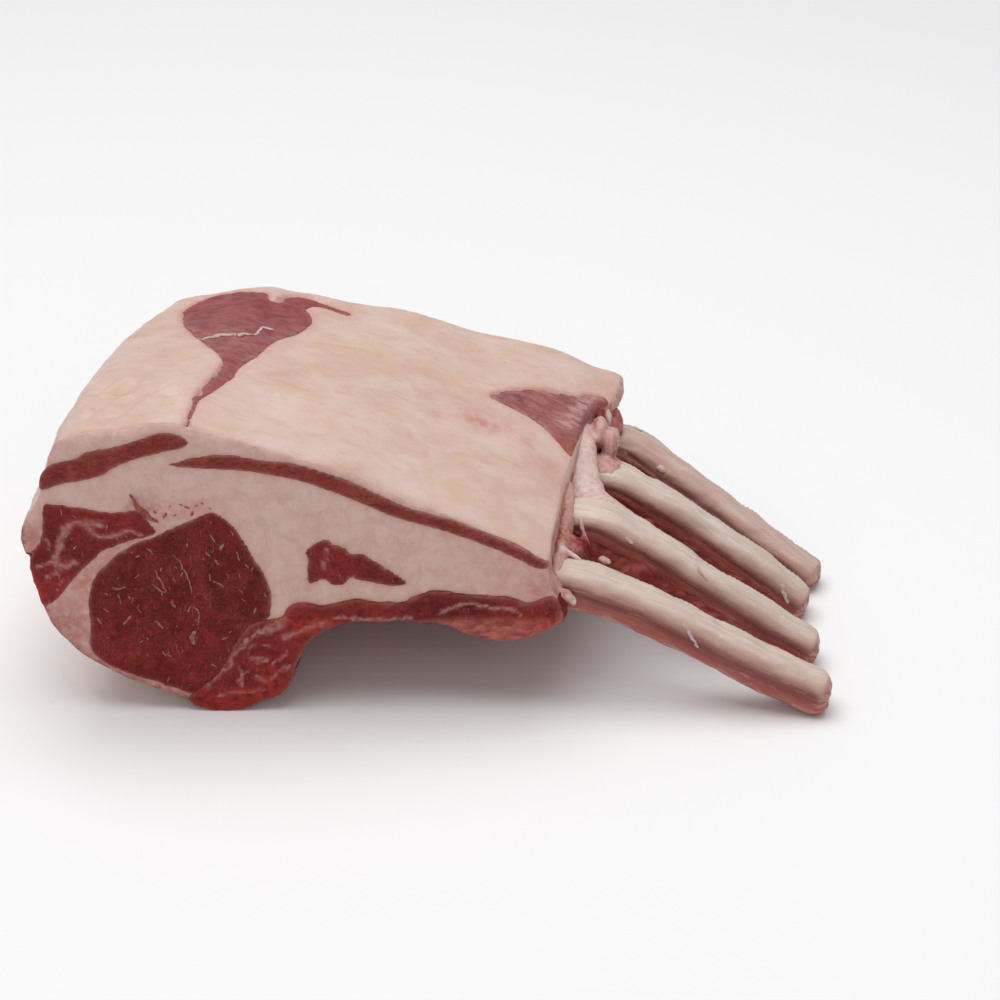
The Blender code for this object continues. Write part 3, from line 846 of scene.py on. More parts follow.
@dataclass(frozen=True)
class TissueFinish:
    """Flesh and sinew torn at the frenched end: dark red, through pink, to a pinkish white."""

    shades: tuple = (
        (0.0, (0.09, 0.01, 0.01)), (0.2, (0.25, 0.035, 0.028)), (0.4, (0.42, 0.13, 0.11)),
        (0.6, (0.56, 0.29, 0.255)), (0.8, (0.65, 0.45, 0.41)), (1.0, (0.74, 0.62, 0.58)),
    )

    def make(self) -> bpy.types.Material:
        """Build the material."""
        r = Recipe("torn tissue")
        fibres = r.noise((1.1, 1.1, 7), 4.0, 0.65, 0.7, turn=(8, 6, 0))
        patches = r.noise(2.6, 4.0, 0.62, 0.4)
        shade = r.plus(
            r.painted("tint"), r.times(r.math("SUBTRACT", fibres, 0.5), 0.6),
            r.times(r.math("SUBTRACT", patches, 0.5), 0.35),
        )
        relief = r.bump(fibres, 0.35, 0.8)
        relief = r.bump(r.noise(0.8, 3.0, 0.6), 0.12, 0.7, relief)
        return r.cook(
            r.ramp(shade, self.shades), r.span(patches, 0.3, 0.7, 0.28, 0.46), relief, Subsurface_Weight=0.2,
            Subsurface_Radius=(1.0, 0.3, 0.22), Subsurface_Scale=0.0015, Specular_IOR_Level=0.35, IOR=1.42,
        )


@dataclass(frozen=True)
class BoneFinish:
    """Scraped rib: cream on top, tan and then dark brown-red down its sides, partly its own stain and partly painted
    shade.
    """

    shades: tuple = (
        (0.0, (0.65, 0.53, 0.465)), (0.1, (0.61, 0.48, 0.41)), (0.15, (0.54, 0.39, 0.32)),
        (0.23, (0.45, 0.26, 0.21)), (0.32, (0.29, 0.11, 0.095)), (0.43, (0.2, 0.043, 0.038)),
        (0.6, (0.27, 0.062, 0.052)), (0.74, (0.38, 0.12, 0.095)), (0.84, (0.5, 0.27, 0.2)),
        (1.0, (0.4, 0.2, 0.15)),
    )
    pale: Colour = (0.74, 0.67, 0.6)
    pink: Colour = (0.54, 0.3, 0.25)
    red: Colour = (0.33, 0.048, 0.036)

    def make(self) -> bpy.types.Material:
        """Build the material."""
        r = Recipe("scraped bone")
        own = r.painted_place("along", "around")
        lengthwise = r.noise((16, 1.1, 1), 4.0, 0.62, 0.4, over=own)
        ragged_edge = r.math("SUBTRACT", r.noise((9, 2.2, 1), 4.0, 0.6, over=own), 0.5)
        # The ramp on turned is partly the bone's own stain and partly painted shade: it darkens the bone as the surface
        # turns from up towards the side, so the cream top, with the pale and ashen streaks kept to it, is partly
        # painted light.
        turned = r.plus(r.painted("turned"), r.times(ragged_edge, 0.18))
        colour = r.ramp(turned, self.shades)
        upper = r.span(turned, 0.06, 0.16, 1.0, 0.0)
        colour = r.mix(r.times(upper, r.span(lengthwise, 0.4, 0.62), 0.6), colour, self.pale)
        line = r.span(r.noise((14, 0.55, 1), 3.0, 0.6, 0.3, over=own), 0.57, 0.68)
        colour = r.mix(r.times(line, 0.6), colour, self.pink)
        ashen = r.times(r.span(r.noise((20, 3, 1), 3.0, 0.6, over=own), 0.5, 0.64), upper, 0.5)
        colour = r.mix(ashen, colour, (0.47, 0.42, 0.33))
        colour = r.mix(r.capped(r.times(r.painted("flushed"), r.span(lengthwise, 0.36, 0.62, 0.3, 1.4))), colour, self.pink)
        stain = r.span(r.noise((6, 1.6, 1), 4.0, 0.65, over=own), 0.38, 0.58)
        colour = r.mix(r.capped(r.times(r.painted("raw"), stain)), colour, self.red)
        colour = r.mix(r.capped(r.times(r.painted("groove"), r.plus(stain, 0.35))), colour, (0.085, 0.014, 0.012))
        relief = r.bump(r.noise((14, 1.0, 1), 4.0, 0.6, over=own), 0.35, 0.7)
        relief = r.bump(r.noise(0.9, 3.0), 0.07, 0.6, relief)
        return r.cook(
            colour, r.span(r.noise(4, 3.0), 0.3, 0.7, 0.32, 0.52), relief, Subsurface_Weight=0.08,
            Subsurface_Radius=(1.0, 0.6, 0.4), Subsurface_Scale=0.0012, Specular_IOR_Level=0.32, IOR=1.5,
        )


@dataclass(frozen=True)
class SinewFinish:
    """Seams, flecks and shreds of fat and sinew."""

    name: str = "sinew"
    base: Colour = (0.24, 0.072, 0.064)
    pale: Colour = (0.38, 0.18, 0.16)
    size: float = 1.1

    def make(self) -> bpy.types.Material:
        """Build the material."""
        r = Recipe(self.name)
        colour = r.mix(r.span(r.noise(self.size, 3.0), 0.35, 0.65), self.base, self.pale)
        relief = r.bump(r.noise(0.6, 3.0), 0.1, 0.6)
        return r.cook(
            colour, 0.42, relief, Subsurface_Weight=0.3, Subsurface_Radius=(1.0, 0.4, 0.3),
            Subsurface_Scale=0.0012, Specular_IOR_Level=0.3, IOR=1.45,
        )


def trimmed(points: Array, set_back: float = 0.0) -> Array:
    """Draw the cover's right edge back to its lip, and keep the rest within the far rib's root.

    Args:
        points: Places in the chop frame.
        set_back: How much farther back they are drawn.

    Returns:
        The places, drawn back.
    """
    across, depth, height = points.T
    lip = np.interp(depth, *np.transpose(LIP)) - set_back * (1 + 2.5 * rise(depth, 76, 90))
    lip -= 4.5 * rise(depth, 76, 80) * (1 - rise(height, 42, 47))
    limit = 32.0 - 0.2 * np.maximum(84 - depth, 0)
    over_lip = 0.86 * np.maximum(across - lip, 0) * rise(height, 34, 39)
    over_limit = 0.93 * np.maximum(across - limit, 0) * rise(depth, 52, 84) * (1 - rise(height, 34, 39))
    return points - np.column_stack((over_lip + over_limit, np.zeros((len(points), 2))))


class TopRelief:
    """The slow waves of the top surface, shared by the fat and by the lean bared in it."""

    @staticmethod
    def height(points: Array) -> Array:
        """How far the surface stands off its plain form, in millimetres."""
        flat = points * (1, 1, 0)
        return 0.5 * grain(flat, (30, 24, 30), 2, 1.0) + 0.22 * grain(flat, (10, 7, 10), 2, 2.0)


@dataclass
class FatCover:
    """The fat on top and between the muscles, out to the edge where the ribs are bared."""

    finish: bpy.types.Material
    voxel: float = 0.78
    sink: float = 1.0
    window_sink: float = 1.25
    blush: tuple = (
        (-7, 46, 3.2, 0.8), (-3, 44.5, 2.5, 0.6), (1, 47.2, 2.5, 0.7), (6.6, 44.5, 3, 0.6), (-17, 42.7, 3, 0.5),
        (-30, 42.5, 3, 0.35), (-16, 30, 3, 0.3), (-24, 62, 5, 0.3), (13, 39, 3, 0.5), (16, 33, 3, 0.5),
        (-87.4, 47.1, 3, 0.4), (-2, 50, 8, 0.3), (10, 34, 8, 0.3), (-56.5, 41.5, 3, 0.3), (29, 84, 4, 0.35),
    )
    ridges: tuple = (((-99.8, 8.9), (-95.8, 17.4), (-90, 24)), ((-104, 12), (-101, 22), (-95, 31)),
                     ((-93, 6), (-89, 14), (-82, 22)), ((-63.3, 37.9), (-52.2, 45.2)))

    def core(self) -> bmesh.types.BMesh:
        """The plain body."""
        shape = drawn_through(smooth_path(FAT, 1.6, closed=True), 0, FORM.depth)
        sliced(shape, 1, between(0, FORM.depth, 6))
        move_shape(shape, FORM.carry(shape_places(shape)))
        return shape

    @staticmethod
    def edge_round(x: Array) -> Array:
        """Radius of the edge between the top and a cut, across the cut."""
        spine = rise(x, -112, -106) * (1 - rise(x, -74, -64))
        return 1.2 + 2.8 * spine + 1.4 * rise(x, -66, -56) * (1 - rise(x, 4, 10))

    def rounded(self, points: Array) -> Array:
        """Round the edges between the outside and the two cuts."""
        front = FORM.front_of(points)
        section = front[:, ::2]
        whole = smooth_path(WHOLE, 1.5, closed=True)
        gap, outward = inside(section, whole), outward_near(section, whole)
        radius = np.where(outward[:, 1] > 0.2, self.edge_round(section[:, 0]), 1.2)
        moved = points.copy()
        for face, inwards in ((0.0, 1.0), (FORM.depth, -1.0)):
            if face:
                radius = radius + 3.2 * rise(section[:, 0], -6, 9) * (section[:, 1] > 36)
            deep = np.abs(points[:, 1] - face)
            along, across = radius - deep, radius - np.maximum(gap, 0)
            reach = np.hypot(along, across)
            near = (along > 0) & (across > 0) & (reach > radius)
            pull = np.where(near, 1 - radius / np.maximum(reach, 1e-6), 0)
            moved[:, 1] += inwards * along * pull
            moved[:, 0] -= outward[:, 0] * across * pull
            moved[:, 2] -= outward[:, 1] * across * pull
        return moved

    def sculpt(self, mesh: bpy.types.Mesh) -> None:
        """Add the relief, sink the surface where lean shows, and paint what the finish reads."""
        points, out = self.rounded(places(mesh)), facing(mesh)
        front = FORM.front_of(points)
        section = front[:, ::2]
        end_gap = np.minimum(points[:, 1], FORM.depth - points[:, 1])
        cut = rise(np.abs(out[:, 1]), 0.5, 0.88) * (1 - rise(end_gap, 1.0, 3.0)) * (front[:, 0] < 14)
        top = rise(out[:, 2], 0.05, 0.5) * (1 - cut)
        push = top * TopRelief.height(points)
        push += top * 0.1 * grain(points, (12, 3, 8), 3, 3.0)
        shoulder = top * (1 - rise(front[:, 0], -96, -84)) * (1 - rise(points[:, 1], 24, 44))
        push += shoulder * 0.45 * grain(points, (3.4, 2.6, 3.4), 3, 3.5)
        for ridge in self.ridges:
            crease = near_path(points[:, :2], np.array(ridge, float))
            push += top * (0.5 * np.exp(-((crease / 1.6) ** 2)) - 0.35 * np.exp(-(((crease - 2.8) / 1.6) ** 2)))
        push += top * spots(points[:, :2], ((-23.8, 11.9, 2.2, 0.8), (-60.5, 85.5, 3.0, 0.9)))
        push += cut * (0.14 * grain(points, (7, 7, 7), 3, 5.0) + 0.1 * grain(points, (2, 2, 2), 2, 5.5))
        end = rise(out[:, 0], 0.6, 0.85) * (1 - cut) * rise(front[:, 0], 9.5, 12)
        push += end * (0.8 * grain(points, (3.0, 2.6, 11), 3, 6.0) - 0.4)
        push += (1 - top) * (1 - cut) * (1 - end) * 0.35 * grain(points, (9, 9, 6), 3, 6.5)

        lean = np.full(len(points), -50.0)
        for outline in (EYE, SIDE_ROOM, BACK_STRIP, CAP_STRIP, ISLET, RIB_MEAT):
            lean = np.maximum(lean, inside(section, smooth_path(outline, 1.5, closed=True)))
        near_cut = 1 - rise(end_gap, 2.0, 4.0)
        flank = inside(section, np.array(SIDE_ROOM, float))
        push -= self.sink * rise(lean, 0.15, 1.0) * near_cut * rise(np.abs(out[:, 1]), 0.2, 0.7)
        push -= self.sink * rise(flank, 0.2, 1.4) * (1 - cut) * (out[:, 0] < -0.3)
        plan = points[:, :2]
        windows = [smooth_path(outline, 1.5, closed=True) for outline in (BACK_WINDOW, RIB_WINDOW)]
        bared = np.maximum(*(inside(plan, loop) for loop in windows))
        push -= self.window_sink * rise(bared, -0.9, 0.7) * top
        points = points + out * push[:, None]
        set_places(mesh, trimmed(points))

        flush = 0.8 * np.exp(-np.maximum(-lean, 0) / 0.9) * near_cut * cut
        flush = np.maximum(flush, 0.75 * np.exp(-np.maximum(-bared, 0) / 1.5) * top)
        flush = np.maximum(flush, 0.85 * spots(plan, self.blush) * top)
        edge = np.exp(-np.maximum(np.abs(points[:, 1]) - 0.5, 0) / 1.2) * top
        flush = np.maximum(flush, 0.3 * edge)
        flush = np.maximum(flush, 0.6 * rise(-out[:, 2], -0.2, 0.5) * (1 - cut) * (front[:, 0] < -60))
        flush = np.maximum(flush, cut * self.pinked(section))
        rim = inside(section, smooth_path(WHOLE, 2.0, closed=True))
        low_rim = (1 - rise(section[:, 1], 50, 60)) * (1 - rise(section[:, 0], -66, -56)) * near_cut
        skin = np.exp(-((np.maximum(rim, 0) / 2.2) ** 2)) * low_rim
        paint(mesh, "cut", cut)
        paint(mesh, "flush", np.clip(flush, 0, 1))
        paint(mesh, "fibrous", np.clip(end, 0, 1))
        paint(mesh, "flesh", np.clip(np.maximum(0.9 * skin, 0.7 * cut * self.fleshy(section)), 0, 1))

    @staticmethod
    def pinked(section: Array) -> Array:
        """How pink the fat is on a cut: towards the rib end, low at the spine, and round the islet."""
        right = 0.55 * rise(section[:, 0], -20, 8)
        low = 0.8 * (1 - rise(section[:, 1], 44, 66)) * (1 - rise(section[:, 0], -100, -84))
        low = np.maximum(low, spots(section, ((-84, 58.5, 3.6, 0.7), (-78, 59.6, 3.6, 0.7), (-73.5, 61, 3, 0.6))))
        between_muscles = 0.75 * (1 - rise(section[:, 1], 52, 60)) * (1 - rise(section[:, 0], -70, -62))
        return np.maximum(np.maximum(right, low), between_muscles)

    @staticmethod
    def fleshy(section: Array) -> Array:
        """Where the fat on a cut is thin and brownish."""
        return spots(section, ((-100, 47.5, 5, 0.3), (-91, 53.5, 5, 0.3), (-106, 38, 5, 0.3), (-109, 24, 5, 0.3),
                               (-90, 60.8, 3.5, 0.9), (-100, 12.5, 5, 0.7), (-88, 7.5, 5, 0.8), (-112, 27, 5, 0.6),
                               (-79, 5.2, 4, 0.8), (-119, 52, 4, 0.6), (10, 37, 3, 0.5)))

    def build(self) -> list[Piece]:
        """Make the piece."""
        mesh = remeshed(self.core(), self.voxel, 3)
        self.sculpt(mesh)
        return [finish_piece(mesh, "fat_cover", self.finish, Slot.FAT, "fat_body")]


@dataclass
class Muscle:
    """A muscle of the cut, which runs from the front cut to the back cut."""

    name: str
    node: str
    outline: Points
    finish: bpy.types.Material
    slot: Slot
    seed: float
    ragged: float = 0.45
    wavelength: float = 5.0
    bulge: float = 0.3
    lift: float = 0.1
    cell: float = 0.9
    tuck: float = 1.0
    back_tuck: float = 0.0
    set_back: float = 2.0
    seams: tuple = ()
    glow: Points = ()
    flank: bool = False

    def loop(self) -> Array:
        """The uneven outline."""
        return ragged(smooth_path(self.outline, 0.7, closed=True), self.ragged, self.wavelength, self.seed)

    def stand(self, section: Array, loop: Array, face: float) -> Array:
        """How far the cut surface stands off the cut, at places on it."""
        deep = np.maximum(inside(section, loop), 0)
        place = np.column_stack((section[:, 0], np.full(len(section), face), section[:, 1]))
        relief = 0.13 * grain(place, (3.2, 3.2, 3.2), 3, self.seed) * rise(deep, 0.4, 1.6)
        relief += 0.07 * grain(place, (1.1, 1.1, 1.1), 2, self.seed + 3) * rise(deep, 0.3, 1.0)
        return self.lift + self.bulge * (1 - np.exp(-deep / 1.6)) - 0.1 * np.exp(-deep / 0.3) + relief

    def build(self) -> list[Piece]:
        """Make the piece."""
        loop = self.loop()
        shape = drawn_through(loop, 0, FORM.depth)
        low, high = loop.min(axis=0), loop.max(axis=0)
        for axis, limits in ((0, (low[0], high[0])), (2, (low[1], high[1]))):
            for station in between(*limits, self.cell):
                place, direction = [0, 0, 0], [0, 0, 0]
                place[axis], direction[axis] = station, 1
                caps = [face for face in shape.faces if abs(face.normal.y) > 0.9]
                edges = {edge for face in caps for edge in face.edges}
                points = {vert for face in caps for vert in face.verts}
                bmesh.ops.bisect_plane(
                    shape, geom=[*points, *edges, *caps], plane_co=place, plane_no=direction)
        stations = between(0, FORM.depth, 1.6 if self.flank else 12)
        sliced(shape, 1, sorted([*stations, 0.8, FORM.depth - 0.8]))
        points = shape_places(shape)
        section = points[:, ::2].copy()
        for face, side in ((0.0, -1), (FORM.depth, 1)):
            there = np.abs(points[:, 1] - face) < 1e-4
            points[there, 1] += side * self.stand(section[there], loop, face)
        if not self.flank:
            hidden = rise(points[:, 1], 0.5, 2.0) * (1 - rise(points[:, 1], FORM.depth - 2.0, FORM.depth - 0.5))
            behind = (points[:, 1] > FORM.depth - 0.5) * np.exp(-np.maximum(inside(section, loop), 0) / 1.2)
            drawn_in = self.tuck * hidden + self.back_tuck * behind
            points[:, 1] -= 6 * rise(section[:, 0], -12, 4) * (points[:, 1] > FORM.depth - 1)
            points[:, ::2] = section - drawn_in[:, None] * outward_near(section, loop)
        carried = FORM.carry(points)
        inner = (points[:, 1] > 1.5)[:, None]
        move_shape(shape, np.where(inner, trimmed(carried, self.set_back), carried))
        bmesh.ops.recalc_face_normals(shape, faces=shape.faces)
        mesh = as_mesh(shape, self.name)
        deep = inside(section, loop)
        frayed = np.maximum(0.55 * np.exp(-np.maximum(deep, 0) / 0.3), seamed(section, self.seams))
        paint(mesh, "frayed", np.clip(frayed, 0, 1))
        paint(mesh, "bright", np.clip(self.bright(section) + spots(section, self.glow), 0, 1))
        piece = finish_piece(mesh, self.name, self.finish, self.slot, self.node)
        piece.data.set_sharp_from_angle(angle=math.radians(50))
        return [piece]

    def bright(self, section: Array) -> Array:
        """Where the lean is a brighter red: at its outside."""
        if not self.flank:
            return np.zeros(len(section))
        rim = inside(section, smooth_path(WHOLE, 2.0, closed=True))
        return 0.8 * np.exp(-np.maximum(rim, 0) / 1.2) * (section[:, 1] < 50)


@dataclass
class RibMeat:
    """The lean along the inside of the ribs, with the ribs standing out under its membrane."""

    finish: bpy.types.Material
    voxel: float = 0.62
    ribs: tuple = (13, 37, 60, 83)
    lumps: tuple = (
        ((14, 3.5, 29), (3.5, 4.5, 4.5)), ((17, 25, 30), (4.5, 6, 5.5)), ((22, 48, 31), (4.5, 6, 5.5)),
        ((27, 71, 31), (4.5, 6, 5.5)), ((30, 90, 33), (4, 5, 5)),
    )

    def build(self) -> list[Piece]:
        """Make the piece."""
        loop = ragged(smooth_path(RIB_MEAT, 0.7, closed=True), 0.45, 3.0, 3.0)
        shape = drawn_through(loop, -0.35, FORM.depth + 0.35)
        sliced(shape, 1, between(0, FORM.depth, 6))
        move_shape(shape, FORM.carry(shape_places(shape)))
        for centre, halves in self.lumps:
            lobe(shape, centre, halves)
        mesh = remeshed(shape, self.voxel, 2)
        points, out = places(mesh), facing(mesh)
        front = FORM.front_of(points)
        under = rise(-out[:, 2], 0.1, 0.6)
        ridge = sum(np.exp(-(((points[:, 1] - rib) / 4.6) ** 2)) for rib in self.ribs)
        ridge = ridge * rise(front[:, 0], -44, -34) * (1 - rise(front[:, 0], -4, 6))
        rough_end = rise(front[:, 0], 8, 13)
        push = under * (1.5 * ridge - 0.3) + (0.3 + 0.8 * rough_end) * grain(points, (5, 5, 5), 3, 8.0)
        end_gap = np.minimum(points[:, 1], FORM.depth - points[:, 1])
        cut = rise(np.abs(out[:, 1]), 0.5, 0.85) * (1 - rise(end_gap, 1.2, 3.0))
        push = np.where(cut > 0.5, 0.2 * push + 0.16 * grain(points, (1.6, 1.6, 1.6), 2, 8.5) + 0.15, push)
        moved = trimmed(points + out * push[:, None])
        moved[:, 2] = np.maximum(moved[:, 2], 0.0)
        set_places(mesh, moved)
        section = front[:, ::2]
        rim = inside(section, smooth_path(RIB_MEAT, 1.5, closed=True))
        low_right = rise(section[:, 0], -24, -10) * (1 - rise(section[:, 1], 26, 29.5)) * (section[:, 0] < 13)
        membrane = cut * np.maximum(0.9 * low_right, 0.5 * np.exp(-np.maximum(rim, 0) / 0.7))
        membrane = np.maximum(membrane, (1 - cut) * under * (0.5 + 0.5 * ridge))
        chine = cut * (1 - rise(section[:, 1], 4, 10)) * (section[:, 0] < -50)
        glow = spots(section, ((-60, 16, 10, 0.6), (-50, 28, 7, 0.75), (-35, 30, 9, 0.4), (5, 30, 6, 0.5), (-58, 9.5, 3, 1.0), (-45, 25.5, 3, 0.8), (-62, 3, 5, 1.0), (-52, 26, 2.5, 0.6),
                               (12, 26, 3, 0.9), (-30, 29, 4, 0.4)))
        frayed = np.maximum(0.6 * np.exp(-np.maximum(rim, 0) / 0.4), seamed(section, CHINE_SEAMS))
        paint(mesh, "frayed", np.clip(cut * frayed, 0, 1))
        paint(mesh, "membrane", np.clip(membrane, 0, 1))
        paint(mesh, "bright", np.clip(0.9 * chine + 0.8 * glow, 0, 1))
        return [finish_piece(mesh, "rib_lean", self.finish, Slot.DARK_LEAN, "rib_meat")]


@dataclass
class BaredLean:
    """Lean that shows where the fat is pared off the top."""

    name: str
    node: str
    outline: Points
    finish: bpy.types.Material
    seed: float
    veil: Callable[[Array], Array]
    warm: Callable[[Array], Array]
    drop: float = 0.6
    thickness: float = 3.0
    cell: float = 0.9

    def build(self) -> list[Piece]:
        """Make the piece."""
        loop = ragged(smooth_path(self.outline, 0.6, closed=True), 1.1, 3.4, self.seed)
        shape = drawn_through(loop, 0, self.thickness)
        for vert in shape.verts:
            vert.co = (vert.co.x, vert.co.z, -vert.co.y)
        bmesh.ops.recalc_face_normals(shape, faces=shape.faces)
        low, high = loop.min(axis=0), loop.max(axis=0)
        sliced(shape, 0, between(low[0], high[0], self.cell))
        sliced(shape, 1, between(low[1], high[1], self.cell))
        points = shape_places(shape)
        plan = points[:, :2].copy()
        deep = np.maximum(inside(plan, loop), 0)
        surface = FORM.top(plan[:, 0], plan[:, 1]) + TopRelief.height(points)
        relief = 0.18 * grain(points, (4, 2, 4), 3, self.seed) + 0.2 * (1 - np.exp(-deep / 3))
        upper = points[:, 2] > -0.5 * self.thickness
        edge = FatCover.edge_round(FORM.front_of(np.column_stack((plan, surface)))[:, 0])
        reach = np.clip((edge - np.minimum(plan[:, 1], FORM.depth - plan[:, 1])) / edge, 0, 1)
        surface -= edge * (1 - np.sqrt(1 - reach**2))
        points[:, 2] = surface - self.drop + np.where(upper, relief, -self.thickness)
        move_shape(shape, trimmed(points))
        mesh = as_mesh(shape, self.name)
        paint(mesh, "veil", np.clip(self.veil(plan) + 0.35 * np.exp(-deep / 0.9), 0, 1))
        paint(mesh, "warm", np.clip(self.warm(plan), 0, 1))
        return [finish_piece(mesh, self.name, self.finish, Slot.COVER_LEAN, self.node)]


@dataclass
class Rib:
    """A frenched rib bone, from inside the meat to its tip."""

    number: int
    route: Points
    finish: bpy.types.Material
    groove: float
    flush: float
    width: float = 12.4
    thickness: float = 9.2
    sides: int = 36
    spacing: float = 1.3

    def build(self) -> list[Piece]:
        """Make the piece."""
        path = smooth_path(self.route, self.spacing, closed=False)
        size = path[:, 3]
        length = np.concatenate(([0], np.cumsum(np.linalg.norm(np.diff(path[:, :3], axis=0), axis=1))))
        end = length[-1] - length
        close = np.sqrt(np.clip(1 - (1 - np.clip(end / 3.2, 0, 1)) ** 2, 0, 1)) * 0.42 + 0.58
        shape = bmesh.new()
        swept(shape, path[:, :3], self.width / 2 * size * close, self.thickness / 2 * size * close, self.sides)
        bmesh.ops.recalc_face_normals(shape, faces=shape.faces)
        mesh = modified(as_mesh(shape, "rib"), self.subdivide)
        self.sculpt(mesh, path, length)
        return [finish_piece(mesh, f"rib_{self.number}", self.finish, Slot.BONE, f"rib_bone_{self.number}")]

    @staticmethod
    def subdivide(holder: Piece) -> None:
        """Add a plain subdivision."""
        finer = holder.modifiers.new("finer", "SUBSURF")
        finer.levels = finer.render_levels = 1

    def sculpt(self, mesh: bpy.types.Mesh, path: Array, length: Array) -> None:
        """Flatten the top, groove the sides, and paint what the finish reads."""
        points, out = places(mesh), facing(mesh)
        gaps = ((points[:, None, :] - path[None, :, :3]) ** 2).sum(axis=2)
        nearest = gaps.argmin(axis=1)
        along = length[nearest]
        offset = points - path[nearest, :3]
        high = offset[:, 2] / (self.thickness / 2 * path[nearest, 3])
        across = offset[:, 1] / (self.width / 2 * path[nearest, 3])
        lengthwise = np.column_stack((along, across * 6, high * 4))
        push = 0.75 * grain(lengthwise, (15, 6, 5), 3, self.number * 3.0)
        push += 0.28 * grain(lengthwise, (5, 2, 2), 2, self.number * 3.0 + 1)
        push += 0.35 * np.exp(-(((np.abs(across) - 0.72) ** 2 + (np.abs(high) - 0.72) ** 2) / 0.1))
        dent = np.exp(-((across + 0.95) ** 2 / 0.08 + (high - 0.1) ** 2 / 0.04))
        push -= 0.7 * dent
        moved = points + out * push[:, None]
        moved[:, 2] = np.maximum(moved[:, 2], 0.02)
        set_places(mesh, moved)
        since_root = points[:, 0] - path[4, 0]
        tip = rise(along, length[-1] - 4.5, length[-1] - 0.5)
        # turned holds partly the stain down the sides and partly painted shade: it grows as the surface turns away from
        # up, and less on the back side.
        turned = (1 - out[:, 2]) / 2
        turned = np.where(across > 0, 0.7 * turned, turned)
        crest = np.exp(-(((across - 0.35) / 0.3) ** 2)) * (high > 0)
        bared = rise(along, length[-1] - 90, length[-1] - 70)
        paint(mesh, "turned", np.clip(turned, 0, 1))
        paint(mesh, "along", along + 200 * self.number)
        paint(mesh, "around", np.arctan2(across, high) * self.width / 2)
        paint(mesh, "flushed", np.clip(self.flush + 0.5 * crest * (1 - rise(since_root, 14, 40)) + 0.8 * tip, 0, 1))
        low = rise(-out[:, 2], 0.1, 0.7)
        lower_side = rise(-high, -0.3, 0.35) * (across < 0) * (1 - self.groove)
        low *= 1 - 0.8 * self.groove
        paint(mesh, "raw", np.clip(0.8 * low + 0.95 * lower_side + 0.6 * tip * low, 0, 1))
        fade = 1 - 0.65 * rise(since_root, 18, 46)
        line = np.exp(-(((high - 0.12) / 0.26) ** 2)) * (across < 0) * bared
        paint(mesh, "groove", np.clip(self.groove * line * fade * (1 - tip), 0, 1))


@dataclass
class RibFlesh:
    """Raw flesh left along the underside of a bared rib."""

    number: int
    route: Points
    finish: bpy.types.Material
    drop: float = 6.8
    width: float = 4.8
    height: float = 5.2

    def build(self) -> list[Piece]:
        """Make the piece."""
        path = smooth_path(self.route, 1.4, closed=False)
        path = path[: int(0.97 * len(path))]
        bared = np.clip((path[:, 0] - self.route[4][0]) / 58, 0, 1)
        close = np.sqrt(np.clip(np.arange(len(path))[::-1] / 5, 0.05, 1))
        thin = (1 - 0.5 * bared) * close * path[:, 3]
        centre = path[:, :3] - np.column_stack((0 * bared, 2.2 + 0 * bared, self.drop * (1 - 0.5 * bared)))
        shape = bmesh.new()
        swept(shape, centre, self.width * thin, self.height * thin, 20)
        bmesh.ops.recalc_face_normals(shape, faces=shape.faces)
        mesh = modified(as_mesh(shape, "flesh"), Rib.subdivide)
        points, out = places(mesh), facing(mesh)
        push = 0.8 * grain(points, (7, 4, 3), 3, self.number * 5.0)
        push += 0.4 * grain(points, (2.2, 2.2, 1.6), 2, self.number * 5.0 + 1)
        moved = points + out * push[:, None]
        moved[:, 2] = np.maximum(moved[:, 2], 0.03)
        set_places(mesh, moved)
        front = rise(-out[:, 1], -0.2, 0.7)
        paint(mesh, "membrane", np.clip(0.2 + 0.7 * front * rise(push, -0.4, 0.6), 0, 1))
        paint(mesh, "bright", np.clip(0.5 * rise(points[:, 0], 45, 75) + 0.3, 0, 1))
        name = f"rib_{self.number}_flesh"
        return [finish_piece(mesh, name, self.finish, Slot.DARK_LEAN, f"rib_bone_{self.number}")]


